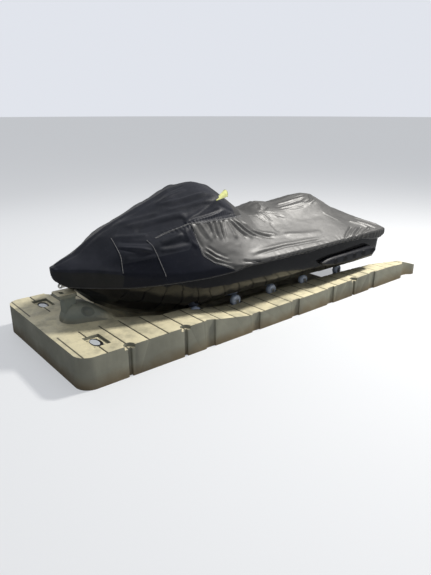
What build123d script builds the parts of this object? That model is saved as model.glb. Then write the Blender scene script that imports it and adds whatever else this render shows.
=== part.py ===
"""Three-seat personal watercraft under a fitted cover, parked on its moulded drive-on float.

Millimetres. +X to the bow, +Y to port, +Z up. The origin is under the middle of the float, on its flat
underside. The float carries the hull on ten wheels that stand in wells along the sides of its trough.
"""
from build123d import *
from math import cos, radians, sin, tan
import os

# Float: overall size and deck
float_length = 4060
float_width = 1380
front_x = float_length / 2
rear_x = -float_length / 2
side_y = float_width / 2
front_corner_radius = 110
bow_deck_height = 370
mid_deck_height = 290
rear_deck_height = 310
prong_slope = 200                   # length of the slope down to the prong's tip
prong_tip_height = 230
bottom_chamfer = 25

# Float: trough, entry slot and prongs
trough_floor = 175
trough_lip_drop = 8
slot_front_x = -1400
slot_half_width = 500
slot_flare = 73                     # how far the slot widens before the prong's tip
slot_flare_length = 280
prong_tip_width = 90
prong_nose_radius = 40
prong_pocket_radius = 150
prong_pocket_depth = 45
prong_pocket_from_end = 175
prong_pocket_ledge = 60             # height of the ledge left under the pocket

# Float: mound and tongue under the bow
mound_root = 40                     # how deep the mound reaches into the deck
mound_steps = 5
mound_roundness = 0.7
dimple_place = (1690, 180, 490)
dimple_radius = 80
tongue_x = 1803
tongue_top = 598
tongue_length = 150
tongue_width = 146
tongue_thickness = 28
tongue_corner = 24
tongue_hole = (58, 30)              # across, along
tongue_hole_x = 1826
neck_length = 90
neck_width = 84
neck_x = 1780
bow_clearance = 3

# Float: deck grooves, side channels and coupler pockets
groove_pitch = 163.4
groove_first_x = 1830
groove_count = 22
groove_width = 16
groove_depth = 6
groove_inner_y = 250
channel_width = 90
channel_depth = 14
channel_bottom = 30
channel_places = (940, 450, -40, -530, -1197)
pocket_places = (1660, 1180, -890)
pocket_radius = 42
pocket_depth = 26
pocket_slot_width = 34
pocket_slot_depth = 22

# Wheels of the float
wheel_places_x = (862, 419, -24, -467, -996)
wheel_y = 385
wheel_radius = 50
tyre_width = 44
tyre_inner_radius = 38
hub_width = 38
hub_barrel_radius = 17
hub_web_thickness = 8
hub_rim = 4
spoke_count = 5
spoke_thickness = 6
seat_gap = 0.3

# Wheel carriers: a fork on the floor of each well
well_round_gap = 12
well_half_width = 37
fork_foot = 5
fork_length = 56
ear_thickness = 6
ear_length = 30
ear_inner = 28
axle_radius = 10
axle_play = 0.05
collar_radius = 15
collar_gap = 1

# Front fittings of the float
recess_x = 1800
recess_y = 470
recess_length = 130
recess_width = 190
recess_depth = 24
bracket_thickness = 6
bracket_margin = 12
bracket_hole_radius = 5.5
bracket_hole_spacing_x = 70
bracket_hole_spacing_y = 120

# Hull and deck
deadrise = 20
keel_height = 225
strake_y = 395
knuckle_share = 0.58                # place of the knuckle on the way out from chine to rail
transom_x = -1460
platform_x = -1540
bay_rear_x = -300
bay_front_x = 350
bay_half_width = 210
engine_length = 560
engine_width = 380
engine_height = 330
engine_x = 20
engine_floor = 330
bay_roof = 860

# Bumper and cover
bumper_width = 22
bumper_edge = 5
bumper_edge_height = 6
bumper_below_rail = 10
bumper_above_rail = 10
bumper_bow_cap = 15
cover_thickness = 5
cover_clearance = 0.3
cover_lip_drop = 11                 # the cover turns in below this depth under the rail
hem_height = 12
hem_width = 10
front_seam_x = 1190                 # place of the front seam at the height below
front_seam_z = 670
front_seam_lean = 0.2
vent_x = 462
vent_y = 215
vent_z = 1216
vent_radius = 34
vent_nose_share = 0.35
vent_wall = 3
vent_length = 130

# Jet drive, from the pump aft
shaft_z = 360
shaft_radius = 14
shaft_play = 0.05
pump_front_x = -980
pump_length = 220
pump_radius = 95
pump_bore = 80
pump_flange = 20
pump_flange_thickness = 12
pump_hub_radius = 32
pump_hub_setback = 30               # from the pump's rear to the end of its hub
pump_hub_bore_end = 20
cone_length = 115
outlet_length = 60
outlet_radius = 46
outlet_wall = 7
stator_vanes = 5
vane_thickness = 6
vane_setback = 8
shaft_end_gap = 5                   # between the shaft's end and the bottom of its bore
pump_rear_x = pump_front_x - pump_length
outlet_front_x = pump_rear_x - cone_length
outlet_rear_x = outlet_front_x - outlet_length
impeller_x = pump_front_x - 80
impeller_length = 80
impeller_blades = 4
impeller_blade_thickness = 6
impeller_pitch_angle = 38
impeller_gap = 5

# Tunnel, intake, ride plate and grate
tunnel_half_width = 170
tunnel_roof = 495
tunnel_rear_roof = 655
tunnel_rear_lead = 60               # how far ahead of the bucket's pivot the roof rises
intake_radius = 78
intake_angle = 22
duct_length = 620
plate_bottom = 236
plate_thickness = 8
plate_overhang = 40
grate_bars = 5
grate_pitch = 25
grate_frame = 7
grate_bottom = 256
grate_bar_width = 7
grate_bar_height = 14

# Steering nozzle
steer_x = (outlet_front_x + outlet_rear_x) / 2
steer_pin_radius = 6
steer_pin_reach = 3
bell_inner = 60
bell_wall = 7
bell_lead = 5
bell_length = 45
steer_length = 110
steer_tip_radius = 44
steer_tip_wall = 6
steer_lug_half_width = 13
steer_lug_ahead = 10
steer_arm = (20, 10, 20)            # along, across, up
bell_rear_x = steer_x - bell_length
steer_tip_x = bell_rear_x - steer_length

# Reverse bucket
bucket_pivot_x = outlet_front_x + 15
bucket_pivot_z = 390
bucket_pin_radius = 8
bucket_pin_shoulder = 5
bucket_pin_reach = 4
bucket_centre_x = bucket_pivot_x - 175
bucket_radius = 98
bucket_wall = 7
bucket_half_angle = 80
bucket_inner_half_width = 113
bucket_arm_thickness = 7
bucket_cheek = 18
bucket_travel = 65

# Boarding step
step_y = -350
step_width = 200
step_pivot_z = 400
step_reach = 205
step_heel = 16
step_bend = 45
step_tube_radius = 11
step_stand_off = 36
step_pin_radius = 6
step_ear_thickness = 8
step_ear_half = 14
step_side_gap = 1
step_pin_reach = 3
step_x = transom_x - step_stand_off

# Sponsons
sponson_inner_y = 480
sponson_outer_y = 620
sponson_chamfer = 14

# Eyes and plugs
bow_eye_x = 1826
bow_eye_z = 652
bow_eye_bore = 9
bow_eye_wall = 10
bow_eye_root = 80
stern_eye_y = 500
stern_eye_z = 545
stern_eye_bore = 8
stern_eye_wall = 8
stern_eye_reach = 22
eye_thickness = 12
plug_y = 225
plug_z = 345
plug_radius = 17
plug_height = 12
plug_slot = (24, 6, 8)              # across, up, deep


def on_deadrise(y):
    """Height of the flat hull bottom at a distance from the keel."""
    return keel_height + y * tan(radians(deadrise))


# Hull lines from the bow aft:
# x, keel z, strake y, strake z, chine y, chine z, knuckle z, rail y, rail z
strake_z = on_deadrise(strake_y)
hull_lines = [
    (1868, 772, 2, 773, 4, 775, 779, 8, 788),
    (1850, 700, 8, 706, 16, 716, 742, 33, 786),
    (1800, 645, 22, 658, 42, 682, 728, 82, 782),
    (1710, 585, 55, 604, 92, 640, 700, 160, 783),
    (1600, 478, 95, 520, 155, 585, 660, 245, 775),
    (1420, 362, 168, 428, 255, 520, 615, 350, 743),
    (1180, 262, 255, 362, 368, 466, 575, 455, 716),
    (960, 230, 330, 345, 440, 440, 560, 520, 706),
    (860, keel_height, strake_y, strake_z, 468, 440, 555, 540, 705),
    (600, keel_height, strake_y, strake_z, 490, 440, 545, 578, 705),
    (430, keel_height, strake_y, strake_z, 495, 435, 530, 593, 706),
    (300, keel_height, strake_y, strake_z, 497.3, 430.4, 518.4, 597.6, 706),
    (190, keel_height, strake_y, strake_z, 499.3, 426.4, 508.6, 601.6, 706),
    (110, keel_height, strake_y, strake_z, 500, 424, 503, 603, 706),
    (40, keel_height, strake_y, strake_z, 500, 422.3, 499.5, 603, 706),
    (-60, keel_height, strake_y, strake_z, 500, 419.7, 494.7, 603, 706),
    (-160, keel_height, strake_y, strake_z, 500, 416.9, 491.2, 603, 706),
    (-260, keel_height, strake_y, strake_z, 500, 414, 487.8, 603, 706),
    (-370, keel_height, strake_y, strake_z, 500, 410.9, 484, 603, 706),
    (-480, keel_height, strake_y, strake_z, 500, 408, 480.4, 601.4, 705.6),
    (-640, keel_height, strake_y, strake_z, 500, 404, 475.2, 598.2, 704.8),
    (-800, keel_height, strake_y, strake_z, 500, 400, 470, 595, 704),
    (-960, keel_height, strake_y, strake_z, 500, 398, 468, 588, 704),
    (-1134, keel_height, strake_y, strake_z, 498, 396, 466, 578, 702),
    (-1405, keel_height, strake_y, strake_z, 490, 395, 465, 558, 695),
    (transom_x, keel_height, strake_y, strake_z, 488, 395, 465, 548, 693),
    (platform_x, keel_height, strake_y, strake_z, 480, 395, 465, 528, 690),
]

# Cover lines at the same places. The skirt hangs below the rail, and the tuck is how far it turns in:
# ridge y, ridge z, shoulder y, shoulder z, crown z, skirt, tuck
cover_lines = [
    (20, 804, 10, 806, 809, 40, 8),
    (45, 808, 26, 820, 832, 92, 28),
    (85, 812, 50, 834, 856, 118, 45),
    (150, 822, 90, 852, 890, 130, 56),
    (225, 830, 120, 895, 962, 125, 48),
    (318, 905, 180, 982, 1056, 95, 20),
    (415, 965, 225, 1050, 1152, 60, 6),
    (435, 1040, 265, 1125, 1234, 46, 2),
    (425, 1072, 285, 1152, 1277, 44, 2),
    (385, 1080, 330, 1240, 1319, 32, 4),
    (340, 1050, 300, 1140, 1276, 16, 10),
    (331, 990, 254, 1084, 1192, 16, 10),
    (323, 939, 214, 1037, 1083, 15, 10),
    (318, 915, 197, 998, 1013, 15, 10),
    (314, 909, 192, 986, 1010, 15, 10),
    (309, 905, 186, 990, 1045, 15, 10),
    (307, 902, 186, 994, 1072, 15, 10),
    (304, 899, 188, 990, 1056, 15, 10),
    (301, 897, 190, 985, 1034, 15, 10),
    (298, 897, 190, 992, 1042, 15, 10),
    (294, 901, 190, 1006, 1066, 15, 10),
    (290, 905, 190, 1022, 1082, 16, 10),
    (300, 880, 195, 972, 1054, 22, 10),
    (320, 828, 210, 893, 950, 38, 10),
    (400, 765, 270, 786, 828, 70, 10),
    (420, 750, 280, 770, 806, 68, 10),
    (440, 728, 300, 741, 778, 48, 10),
]

# Seam round the rear panel, from the hem up and back to the valley behind the hood: x, z
rear_seam = [(620, 680), (657, 705), (795, 765), (880, 830), (920, 1068), (600, 1052), (275, 1024)]

# Outline of the sponsons from the side, from the nose aft along the top and back below: x, z
sponson_profile = [
    (-465, 528),
    (-540, 550),
    (-640, 558),
    (-1240, 560),
    (-1300, 548),
    (-1335, 510),
    (-1275, 464),
    (-1050, 458),
    (-800, 466),
    (-560, 484),
    (-490, 504),
]

# x, deck height of the float, from the front edge aft
deck_profile = [
    (front_x, bow_deck_height),
    (980, bow_deck_height),
    (530, mid_deck_height),
    (-340, mid_deck_height),
    (-1140, rear_deck_height),
    (-1440, rear_deck_height),
    (rear_x + prong_slope, mid_deck_height),
    (rear_x, prong_tip_height),
]

# x, trough edge y, floor z, floor half width
trough_lines = [
    (1480, 200, 290, 40),
    (1200, 370, 208, 60),
    (860, 385, trough_floor, 80),
    (610, 400, trough_floor, 80),
    (230, 373, trough_floor, 80),
    (-160, 380, trough_floor, 80),
    (-410, 400, trough_floor, 80),
    (-910, 450, 148, 165),
    (-1110, 476, 130, 185),
    (-1330, slot_half_width, 90, 220),
    (-1460, slot_half_width, 60, 300),
]

# x, half width, top of the mound
mound_lines = [
    (1852, 34, 376),
    (1834, 76, 425),
    (1802, 106, 480),
    (1765, 124, 505),
    (1710, 138, 508),
    (1640, 160, 488),
    (1560, 190, 438),
    (1480, 215, 376),
]


def save(name, shape):
    """Write one sub-part."""
    export_step(shape, os.path.join("parts", name + ".step"))


def both(half):
    """An outline from its port half, listed either way between the outside and the centre line."""
    return half + [(-y, z) for y, z in reversed(half) if y != 0]


def ring(x, outline):
    """A closed polygon across the boat at x."""
    return Wire.make_polygon([(x, y, z) for y, z in outline], close=True)


def ruled(rings):
    """A solid with straight runs between its rings."""
    return Solid.make_loft(rings, ruled=True)


def box(x0, x1, y0, y1, z0, z1):
    """A box between two corners."""
    size = (abs(x1 - x0), abs(y1 - y0), abs(z1 - z0))
    middle = ((x0 + x1) / 2, (y0 + y1) / 2, (z0 + z1) / 2)
    return Pos(*middle) * Box(*size)


def rod(start, end, radius):
    """A cylinder between two points."""
    axis = Vector(*end) - Vector(*start)
    return Solid.make_cylinder(radius, axis.length, Plane(origin=start, z_dir=axis.normalized()))


def side_plate(points, y0, y1):
    """A flat plate with an outline in x and z, between two values of y."""
    face = make_face(Polyline(*[(x, y0, z) for x, z in points], close=True))
    return extrude(face, amount=y1 - y0, dir=(0, 1, 0))


def plan_plate(points, z0, z1):
    """A flat plate with an outline in x and y, between two heights."""
    face = make_face(Polyline(*[(x, y, z0) for x, y in points], close=True))
    return extrude(face, amount=z1 - z0, dir=(0, 0, 1))


def pair(shape):
    """A shape and its mirror image across the centre line."""
    return [shape, mirror(shape, about=Plane.XZ)]


def largest(shape):
    """The biggest solid of a shape that a cut has parted."""
    return sorted(shape.solids(), key=lambda solid: solid.volume)[-1]


# Float

def deck_at(x):
    """Deck height of the float at x."""
    for (ahead_x, ahead_z), (behind_x, behind_z) in zip(deck_profile, deck_profile[1:]):
        if behind_x <= x <= ahead_x:
            return behind_z + (x - behind_x) / (ahead_x - behind_x) * (ahead_z - behind_z)
    raise ValueError("x lies beyond the float")


def hull_rings(grow=0, last=platform_x):
    """Rings of the hull, grown outwards for the pocket that holds the bow."""
    rings = []
    for x, keel, sy, sz, cy, cz, kz, ry, rz in hull_lines:
        if x < last:
            continue
        half = [
            (0, keel - grow),
            (sy + grow / 2, sz - grow),
            (cy + grow, cz - grow),
            (cy + knuckle_share * (ry - cy) + grow, kz - grow),
            (ry + grow, rz),
        ]
        rings.append(ring(x, both(half)))
    return rings


def tyre_crown():
    """The tyre's tread from side to side: distance from the wheel's middle, radius."""
    half = tyre_width / 2
    return [(-half, wheel_radius - 8), (-half + 5, wheel_radius - 3), (-half + 14, wheel_radius),
            (half - 14, wheel_radius), (half - 5, wheel_radius - 3), (half, wheel_radius - 8)]


def axle_height():
    """Height at which the tyres just carry the sloping hull bottom."""
    lift = min(on_deadrise(wheel_y + off) - radius for off, radius in tyre_crown())
    return lift - seat_gap / cos(radians(deadrise))


axle_z = axle_height()
well_floor = axle_z - wheel_radius - well_round_gap


def wheels():
    """Side, name of the side, number and x of each wheel."""
    for side, name in ((1, "port"), (-1, "starboard")):
        for number, x in enumerate(wheel_places_x, start=1):
            yield side, name, number, x


def make_float():
    """The moulded float with its mound, trough, entry slot, wells, grooves and pockets."""
    tall = 2 * bow_deck_height
    outline = deck_profile + [(rear_x, bottom_chamfer), (rear_x + bottom_chamfer, 0)]
    outline += [(front_x - bottom_chamfer, 0), (front_x, bottom_chamfer)]
    body = side_plate(outline, -side_y, side_y)
    plan = [
        (front_x, 0),
        (front_x, side_y),
        (rear_x, side_y),
        (rear_x, side_y - prong_tip_width),
        (rear_x + slot_flare_length, slot_half_width + slot_flare),
        (slot_front_x, slot_half_width),
        (slot_front_x, 0),
    ]
    half_plan = plan_plate(plan, 0, tall)
    uprights = half_plan.edges().filter_by(Axis.Z)
    front_corner = uprights.group_by(Axis.X)[-1].sort_by(Axis.Y)[-1]
    half_plan = fillet(front_corner, front_corner_radius)
    prong_nose = half_plan.edges().filter_by(Axis.Z).group_by(Axis.X)[0]
    half_plan = fillet(prong_nose, prong_nose_radius)
    body = body & (half_plan + mirror(half_plan, about=Plane.XZ))
    body += make_mound()
    trough = []
    for x, edge, floor, floor_y in trough_lines:
        lip = deck_at(x) - trough_lip_drop
        trough.append(ring(x, both([(floor_y, floor), (edge, lip), (edge, tall)][::-1])))
    body -= ruled(trough)
    body -= ruled(hull_rings(bow_clearance))
    for cutter in float_cutters():
        body -= cutter
    return body


def make_mound():
    """The raised fairing under the bow, with the flat tongue that the stem comes up to."""
    base = bow_deck_height - mound_root
    rings = []
    for x, half_width, top in mound_lines:
        half = [(0, base)]
        for step in range(mound_steps):
            angle = radians(90 * step / mound_steps)
            rise = sin(angle) ** mound_roundness
            half.append((half_width * cos(angle) ** mound_roundness, base + (top - base) * rise))
        rings.append(ring(x, both(half + [(0, top)])))
    mound = ruled(rings)
    dimple_x, dimple_y, dimple_z = dimple_place
    for dimple in pair(Pos(dimple_x, dimple_y, dimple_z) * Sphere(dimple_radius)):
        mound -= dimple
    tongue = extrude(RectangleRounded(tongue_length, tongue_width, tongue_corner), amount=tongue_thickness)
    mound += Pos(tongue_x, 0, tongue_top - tongue_thickness) * tongue
    half = neck_length / 2
    mound += box(neck_x - half, neck_x + half, -neck_width / 2, neck_width / 2, base, tongue_top - 1)
    hole_width, hole_length = tongue_hole
    hole = extrude(Rot(0, 0, 90) * SlotOverall(hole_width, hole_length), amount=tongue_thickness + 2)
    return mound - Pos(tongue_hole_x, 0, tongue_top - tongue_thickness - 1) * hole


def float_cutters():
    """Everything that is cut from the float by itself: wells, grooves, channels, pockets and recesses."""
    clear = 50
    cutters = []
    for side, _, _, x in wheels():
        half = wheel_radius + well_round_gap
        inner, outer = side * (wheel_y - well_half_width), side * (wheel_y + well_half_width)
        cutters.append(box(x - half, x + half, inner, outer, well_floor, bow_deck_height + clear))
    for number in range(groove_count):
        x = groove_first_x - number * groove_pitch
        deck = deck_at(x)
        half = groove_width / 2
        profile = [(x - half, deck + clear), (x - half, deck), (x, deck - groove_depth)]
        profile += [(x + half, deck), (x + half, deck + clear)]
        cutters += pair(side_plate(profile, groove_inner_y, side_y + clear))
    for x in channel_places:
        half = channel_width / 2
        cutters += pair(box(x - half, x + half, side_y - channel_depth, side_y + clear,
                            channel_bottom, bow_deck_height + clear))
    for x in pocket_places:
        deck = deck_at(x)
        half = pocket_slot_width / 2
        notch_y = side_y - groove_width / 2
        cutters += pair(rod((x, notch_y, deck - pocket_depth), (x, notch_y, deck + clear), pocket_radius))
        cutters += pair(box(x - half, x + half, side_y - pocket_slot_depth, side_y + clear, -clear, deck))
    half_length, half_width = recess_length / 2, recess_width / 2
    cutters += pair(box(recess_x - half_length, recess_x + half_length, recess_y - half_width,
                        recess_y + half_width, bow_deck_height - recess_depth, bow_deck_height + clear))
    nose_x = rear_x + prong_pocket_from_end
    nose_y = side_y - prong_pocket_depth + prong_pocket_radius
    cutters += pair(rod((nose_x, nose_y, prong_pocket_ledge), (nose_x, nose_y, bow_deck_height),
                        prong_pocket_radius))
    return cutters


def make_axles():
    """A fork on the floor of each well, with the axle and its spacers."""
    forks = []
    for side, _, _, x in wheels():
        y = side * wheel_y
        half = ear_inner + ear_thickness
        fork = box(x - fork_length / 2, x + fork_length / 2, y - half, y + half, well_floor, well_floor + fork_foot)
        for face in (-1, 1):
            inner, outer = y + face * ear_inner, y + face * half
            ear = box(x - ear_length / 2, x + ear_length / 2, inner, outer, well_floor, axle_z)
            cap = rod((x, min(inner, outer), axle_z), (x, max(inner, outer), axle_z), ear_length / 2)
            fork += ear + cap
            spacer_end = y + face * (hub_width / 2 + collar_gap)
            fork += rod((x, inner, axle_z), (x, spacer_end, axle_z), collar_radius)
        fork += rod((x, y - half - 2, axle_z), (x, y + half + 2, axle_z), axle_radius)
        forks.append(fork)
    return Compound(children=forks)


def make_wheel(side, x):
    """A spoked hub and its tyre."""
    centre = Plane(origin=(x, side * wheel_y, axle_z), x_dir=(1, 0, 0), z_dir=(0, 1, 0))
    hub = Cylinder(hub_barrel_radius, hub_width) + Cylinder(tyre_inner_radius, hub_web_thickness)
    hub += Cylinder(tyre_inner_radius, hub_width) - Cylinder(tyre_inner_radius - hub_rim, hub_width)
    spoke_length = tyre_inner_radius - hub_barrel_radius
    for number in range(spoke_count):
        spoke = Pos((hub_barrel_radius + tyre_inner_radius) / 2 - 2, 0, 0)
        spoke *= Box(spoke_length, spoke_thickness, hub_width - hub_web_thickness)
        hub += Rot(0, 0, number * 360 / spoke_count) * spoke
    hub -= Cylinder(axle_radius + axle_play, 2 * hub_width)
    half = tyre_width / 2
    profile = [(tyre_inner_radius, half), (tyre_inner_radius, -half)]
    profile += [(radius, off) for off, radius in tyre_crown()]
    tyre = revolve(Plane.XZ * make_face(Polyline(*profile, close=True)), Axis.Z)
    return centre.location * hub, centre.location * tyre


def make_brackets():
    """Metal plates in the recesses of the front deck."""
    half_x = recess_length / 2 - bracket_margin
    half_y = recess_width / 2 - bracket_margin
    floor = bow_deck_height - recess_depth
    top = floor + bracket_thickness
    plate = box(recess_x - half_x, recess_x + half_x, recess_y - half_y, recess_y + half_y, floor, top)
    for sx in (-1, 1):
        for sy in (-1, 1):
            x = recess_x + sx * bracket_hole_spacing_x / 2
            y = recess_y + sy * bracket_hole_spacing_y / 2
            plate -= rod((x, y, floor - 1), (x, y, top + 1), bracket_hole_radius)
    return Compound(children=pair(plate))


# Hull, deck, bumper

def make_hull():
    """The hull with its pump tunnel, intake duct, shaft hole and engine bay."""
    hull = ruled(hull_rings(last=transom_x))
    hull -= box(bay_rear_x, bay_front_x, -bay_half_width, bay_half_width, engine_floor, bay_roof)
    hull -= tunnel_space()
    hull -= intake_duct(intake_radius)
    hull -= rod((bay_rear_x, 0, shaft_z), (pump_front_x, 0, shaft_z), shaft_radius + shaft_play)
    return hull


def tunnel_space():
    """The arched space round the pump, higher behind where the bucket is stowed."""
    beyond = transom_x - 100
    space = box(pump_front_x, beyond, -tunnel_half_width, tunnel_half_width, 0, tunnel_roof)
    rear_start = bucket_pivot_x + tunnel_rear_lead
    return space + box(rear_start, beyond, -tunnel_half_width, tunnel_half_width, 0, tunnel_rear_roof)


def intake_duct(radius):
    """The sloping water duct from the hull bottom up to the pump."""
    drop = duct_length * sin(radians(intake_angle))
    run = duct_length * cos(radians(intake_angle))
    duct = rod((pump_front_x - 5, 0, shaft_z), (pump_front_x + run, 0, shaft_z - drop), radius)
    return duct & box(pump_front_x, pump_front_x + duct_length, -2 * radius, 2 * radius, 0, shaft_z + 2 * radius)


def make_deck():
    """The upper moulding with hood and saddle, one closed form that carries the cover."""
    rings = []
    inset = cover_thickness + cover_clearance
    for hull_line, cover_line in zip(hull_lines, cover_lines):
        x, rail_y, rail_z = hull_line[0], hull_line[7], hull_line[8]
        ridge_y, ridge_z, shoulder_y, shoulder_z, crown_z = cover_line[:5]
        top = rail_z + bumper_above_rail
        half = [
            (rail_y, rail_z),
            (rail_y, min(top, ridge_z - 8)),
            (ridge_y - inset * 1.5, ridge_z - inset),
            (shoulder_y - inset, shoulder_z - inset),
            (0, crown_z - inset),
        ]
        rings.append(ring(x, both(half)))
    return ruled(rings)


def make_bumper():
    """The rub rail that runs along both sides and round the bow."""
    strip = []
    inner = []
    clear = 60
    last = len(hull_lines) - 1
    for number, line in enumerate(hull_lines):
        x, rail_y, rail_z = line[0], line[7], line[8]
        y = rail_y + bumper_width
        low, high = rail_z - bumper_below_rail, rail_z + bumper_above_rail
        half = [(y - bumper_edge, low), (y, low + bumper_edge_height),
                (y, high - bumper_edge_height), (y - bumper_edge, high)]
        strip_x = x + bumper_bow_cap if number == 0 else x
        inner_x = x - clear if number == last else x
        strip.append(ring(strip_x, both(half)))
        inner.append(ring(inner_x, both([(rail_y, rail_z - clear), (rail_y, rail_z + clear)])))
    return ruled(strip) - ruled(inner)


# Cover

def cover_edge(number, x, front_shift, rear_shift):
    """The x of a cover ring, moved out at the bow and at the stern."""
    if number == 0:
        return x + front_shift
    if number == len(hull_lines) - 1:
        return x - rear_shift
    return x


def cover_rings(inset, overrun, front_shift, rear_shift):
    """Rings of the cover's form, set in from its outside; the overrun carries a cut past the edge."""
    rings = []
    edge_out = bumper_width + cover_thickness + cover_clearance
    for number, (hull_line, cover_line) in enumerate(zip(hull_lines, cover_lines)):
        rail_y, rail_z = hull_line[7], hull_line[8]
        ridge_y, ridge_z, shoulder_y, shoulder_z, crown_z, skirt, tuck = cover_line
        edge_y = rail_y + edge_out - inset
        edge_z = rail_z + bumper_above_rail + cover_thickness + cover_clearance - inset
        half = [
            (edge_y - tuck, rail_z - skirt),
            (edge_y, rail_z - cover_lip_drop),
            (edge_y, edge_z),
            (ridge_y - inset, ridge_z - inset / 2),
            (shoulder_y - inset / 2, shoulder_z - inset),
            (0, crown_z - inset),
        ]
        if overrun:
            half.insert(0, (edge_y - tuck, rail_z - skirt - overrun))
        rings.append(ring(cover_edge(number, hull_line[0], front_shift, rear_shift), both(half)))
    return rings


def make_cover():
    """The fitted cover as three panels with a common thickness, and its outer form."""
    cap = bumper_bow_cap + cover_clearance
    outer = ruled(cover_rings(0, 0, cap + cover_thickness, cover_thickness + cover_clearance))
    inner = ruled(cover_rings(cover_thickness, cover_thickness, cap, cover_clearance))
    shell = outer - inner
    far = 3000
    low_x = front_seam_x - front_seam_lean * front_seam_z
    ahead = side_plate([(low_x, 0), (low_x + front_seam_lean * far, far), (far, far), (far, 0)], -far, far)
    rear_part = [(rear_seam[0][0], 0)] + rear_seam + [(rear_seam[-1][0], far), (-far, far), (-far, 0)]
    behind = side_plate(rear_part, -far, far)
    return shell & ahead, shell - ahead - behind, shell & behind, outer


def hem_rings(inset, rise, front_shift, rear_shift):
    """Rings of the hem's outside or inside, along the lower edge of the cover."""
    rings = []
    edge_out = bumper_width + cover_thickness + cover_clearance
    for number, (hull_line, cover_line) in enumerate(zip(hull_lines, cover_lines)):
        rail_y, rail_z = hull_line[7], hull_line[8]
        skirt, tuck = cover_line[5:]
        y = rail_y + edge_out - tuck - inset
        low, high = rail_z - skirt - hem_height, rail_z - skirt
        half = [(y, low - rise), (y, high + rise)]
        rings.append(ring(cover_edge(number, hull_line[0], front_shift, rear_shift), both(half)))
    return rings


def make_hem():
    """The elastic hem under the edge of the cover."""
    front = bumper_bow_cap + cover_clearance + cover_thickness
    rear = cover_thickness + cover_clearance
    outer = ruled(hem_rings(0, 0, front, rear))
    return outer - ruled(hem_rings(hem_width, hem_height, front - hem_width, rear - hem_width))


def make_vents(cover_outer):
    """Small hoods over the cover's air vents, open to the rear."""
    nose_radius = vent_radius * vent_nose_share
    hood = Cone(nose_radius, vent_radius, vent_length)
    hood -= Pos(0, 0, vent_wall) * Cone(nose_radius - vent_wall, vent_radius - vent_wall, vent_length)
    hood = Pos(vent_x, vent_y, vent_z) * Rot(0, -90, 0) * hood
    return Compound(children=pair(largest(hood - cover_outer)))


# Jet drive

def make_pump():
    """Pump housing with stator vanes, outlet cone and the pins of nozzle and bucket."""
    flange_rear_x = pump_front_x - pump_flange_thickness
    outer = [
        (pump_front_x, 0),
        (pump_front_x, pump_radius + pump_flange),
        (flange_rear_x, pump_radius + pump_flange),
        (flange_rear_x, pump_radius),
        (pump_rear_x, pump_radius),
        (outlet_front_x, outlet_radius + 2),
        (outlet_rear_x, outlet_radius),
        (outlet_rear_x, 0),
    ]
    outlet_bore = outlet_radius - outlet_wall
    inner = [
        (pump_front_x + 1, 0),
        (pump_front_x + 1, pump_bore),
        (pump_rear_x, pump_bore),
        (outlet_front_x, outlet_bore + 2),
        (outlet_rear_x - 1, outlet_bore),
        (outlet_rear_x - 1, 0),
    ]
    body = revolve(make_face(Polyline(*outer, close=True)), Axis.X)
    body -= revolve(make_face(Polyline(*inner, close=True)), Axis.X)
    hub_front = impeller_x - impeller_length / 2 - impeller_gap
    hub = rod((hub_front, 0, 0), (pump_rear_x - pump_hub_setback, 0, 0), pump_hub_radius)
    hub -= rod((hub_front + 1, 0, 0), (pump_rear_x + pump_hub_bore_end, 0, 0),
               shaft_radius + shaft_play)
    body += hub
    half = vane_thickness / 2
    for number in range(stator_vanes):
        vane = box(hub_front - vane_setback, pump_rear_x, -half, half, pump_hub_radius - 4, pump_bore + 2)
        body += Rot(number * 360 / stator_vanes, 0, 0) * vane
    for side in (-1, 1):
        start = side * (outlet_radius - 3)
        end = side * (bell_inner + bell_wall + steer_pin_reach)
        body += rod((steer_x, 0, start), (steer_x, 0, end), steer_pin_radius)
    body = Pos(0, 0, shaft_z) * body
    start = outlet_radius - outlet_wall + 1
    for side in (-1, 1):
        shoulder = side * (bucket_inner_half_width - 2)
        end = side * (bucket_inner_half_width + bucket_arm_thickness + bucket_pin_reach)
        root = (bucket_pivot_x, side * start, bucket_pivot_z)
        body += rod(root, (bucket_pivot_x, end, bucket_pivot_z), bucket_pin_radius)
        body += rod(root, (bucket_pivot_x, shoulder, bucket_pivot_z), bucket_pin_radius + bucket_pin_shoulder)
    bore = rod((outlet_front_x + 40, 0, shaft_z), (outlet_rear_x - 1, 0, shaft_z), outlet_bore)
    return body - bore


def make_impeller():
    """Drive shaft and impeller in one piece."""
    front = engine_x - engine_length / 2 - seat_gap
    along_shaft = Plane(origin=(impeller_x, 0, 0), z_dir=(1, 0, 0)).location
    body = rod((front, 0, 0), (pump_rear_x + pump_hub_bore_end + shaft_end_gap, 0, 0), shaft_radius)
    body += along_shaft * Cone(pump_hub_radius, pump_hub_radius - 8, impeller_length)
    tip = pump_bore - impeller_gap
    reach = along_shaft * Cylinder(tip, impeller_length)
    for number in range(impeller_blades):
        blade = Rot(0, 0, impeller_pitch_angle) * Box(impeller_length * 1.15, impeller_blade_thickness, tip)
        blade = Pos(impeller_x, 0, tip / 2 + shaft_radius) * blade
        body += Rot(number * 360 / impeller_blades, 0, 0) * (blade & reach)
    return Pos(0, 0, shaft_z) * body


def make_ride_plate():
    """The plate that closes the tunnel under the pump."""
    return box(pump_front_x, transom_x - plate_overhang, -tunnel_half_width, tunnel_half_width,
               plate_bottom, plate_bottom + plate_thickness)


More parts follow.
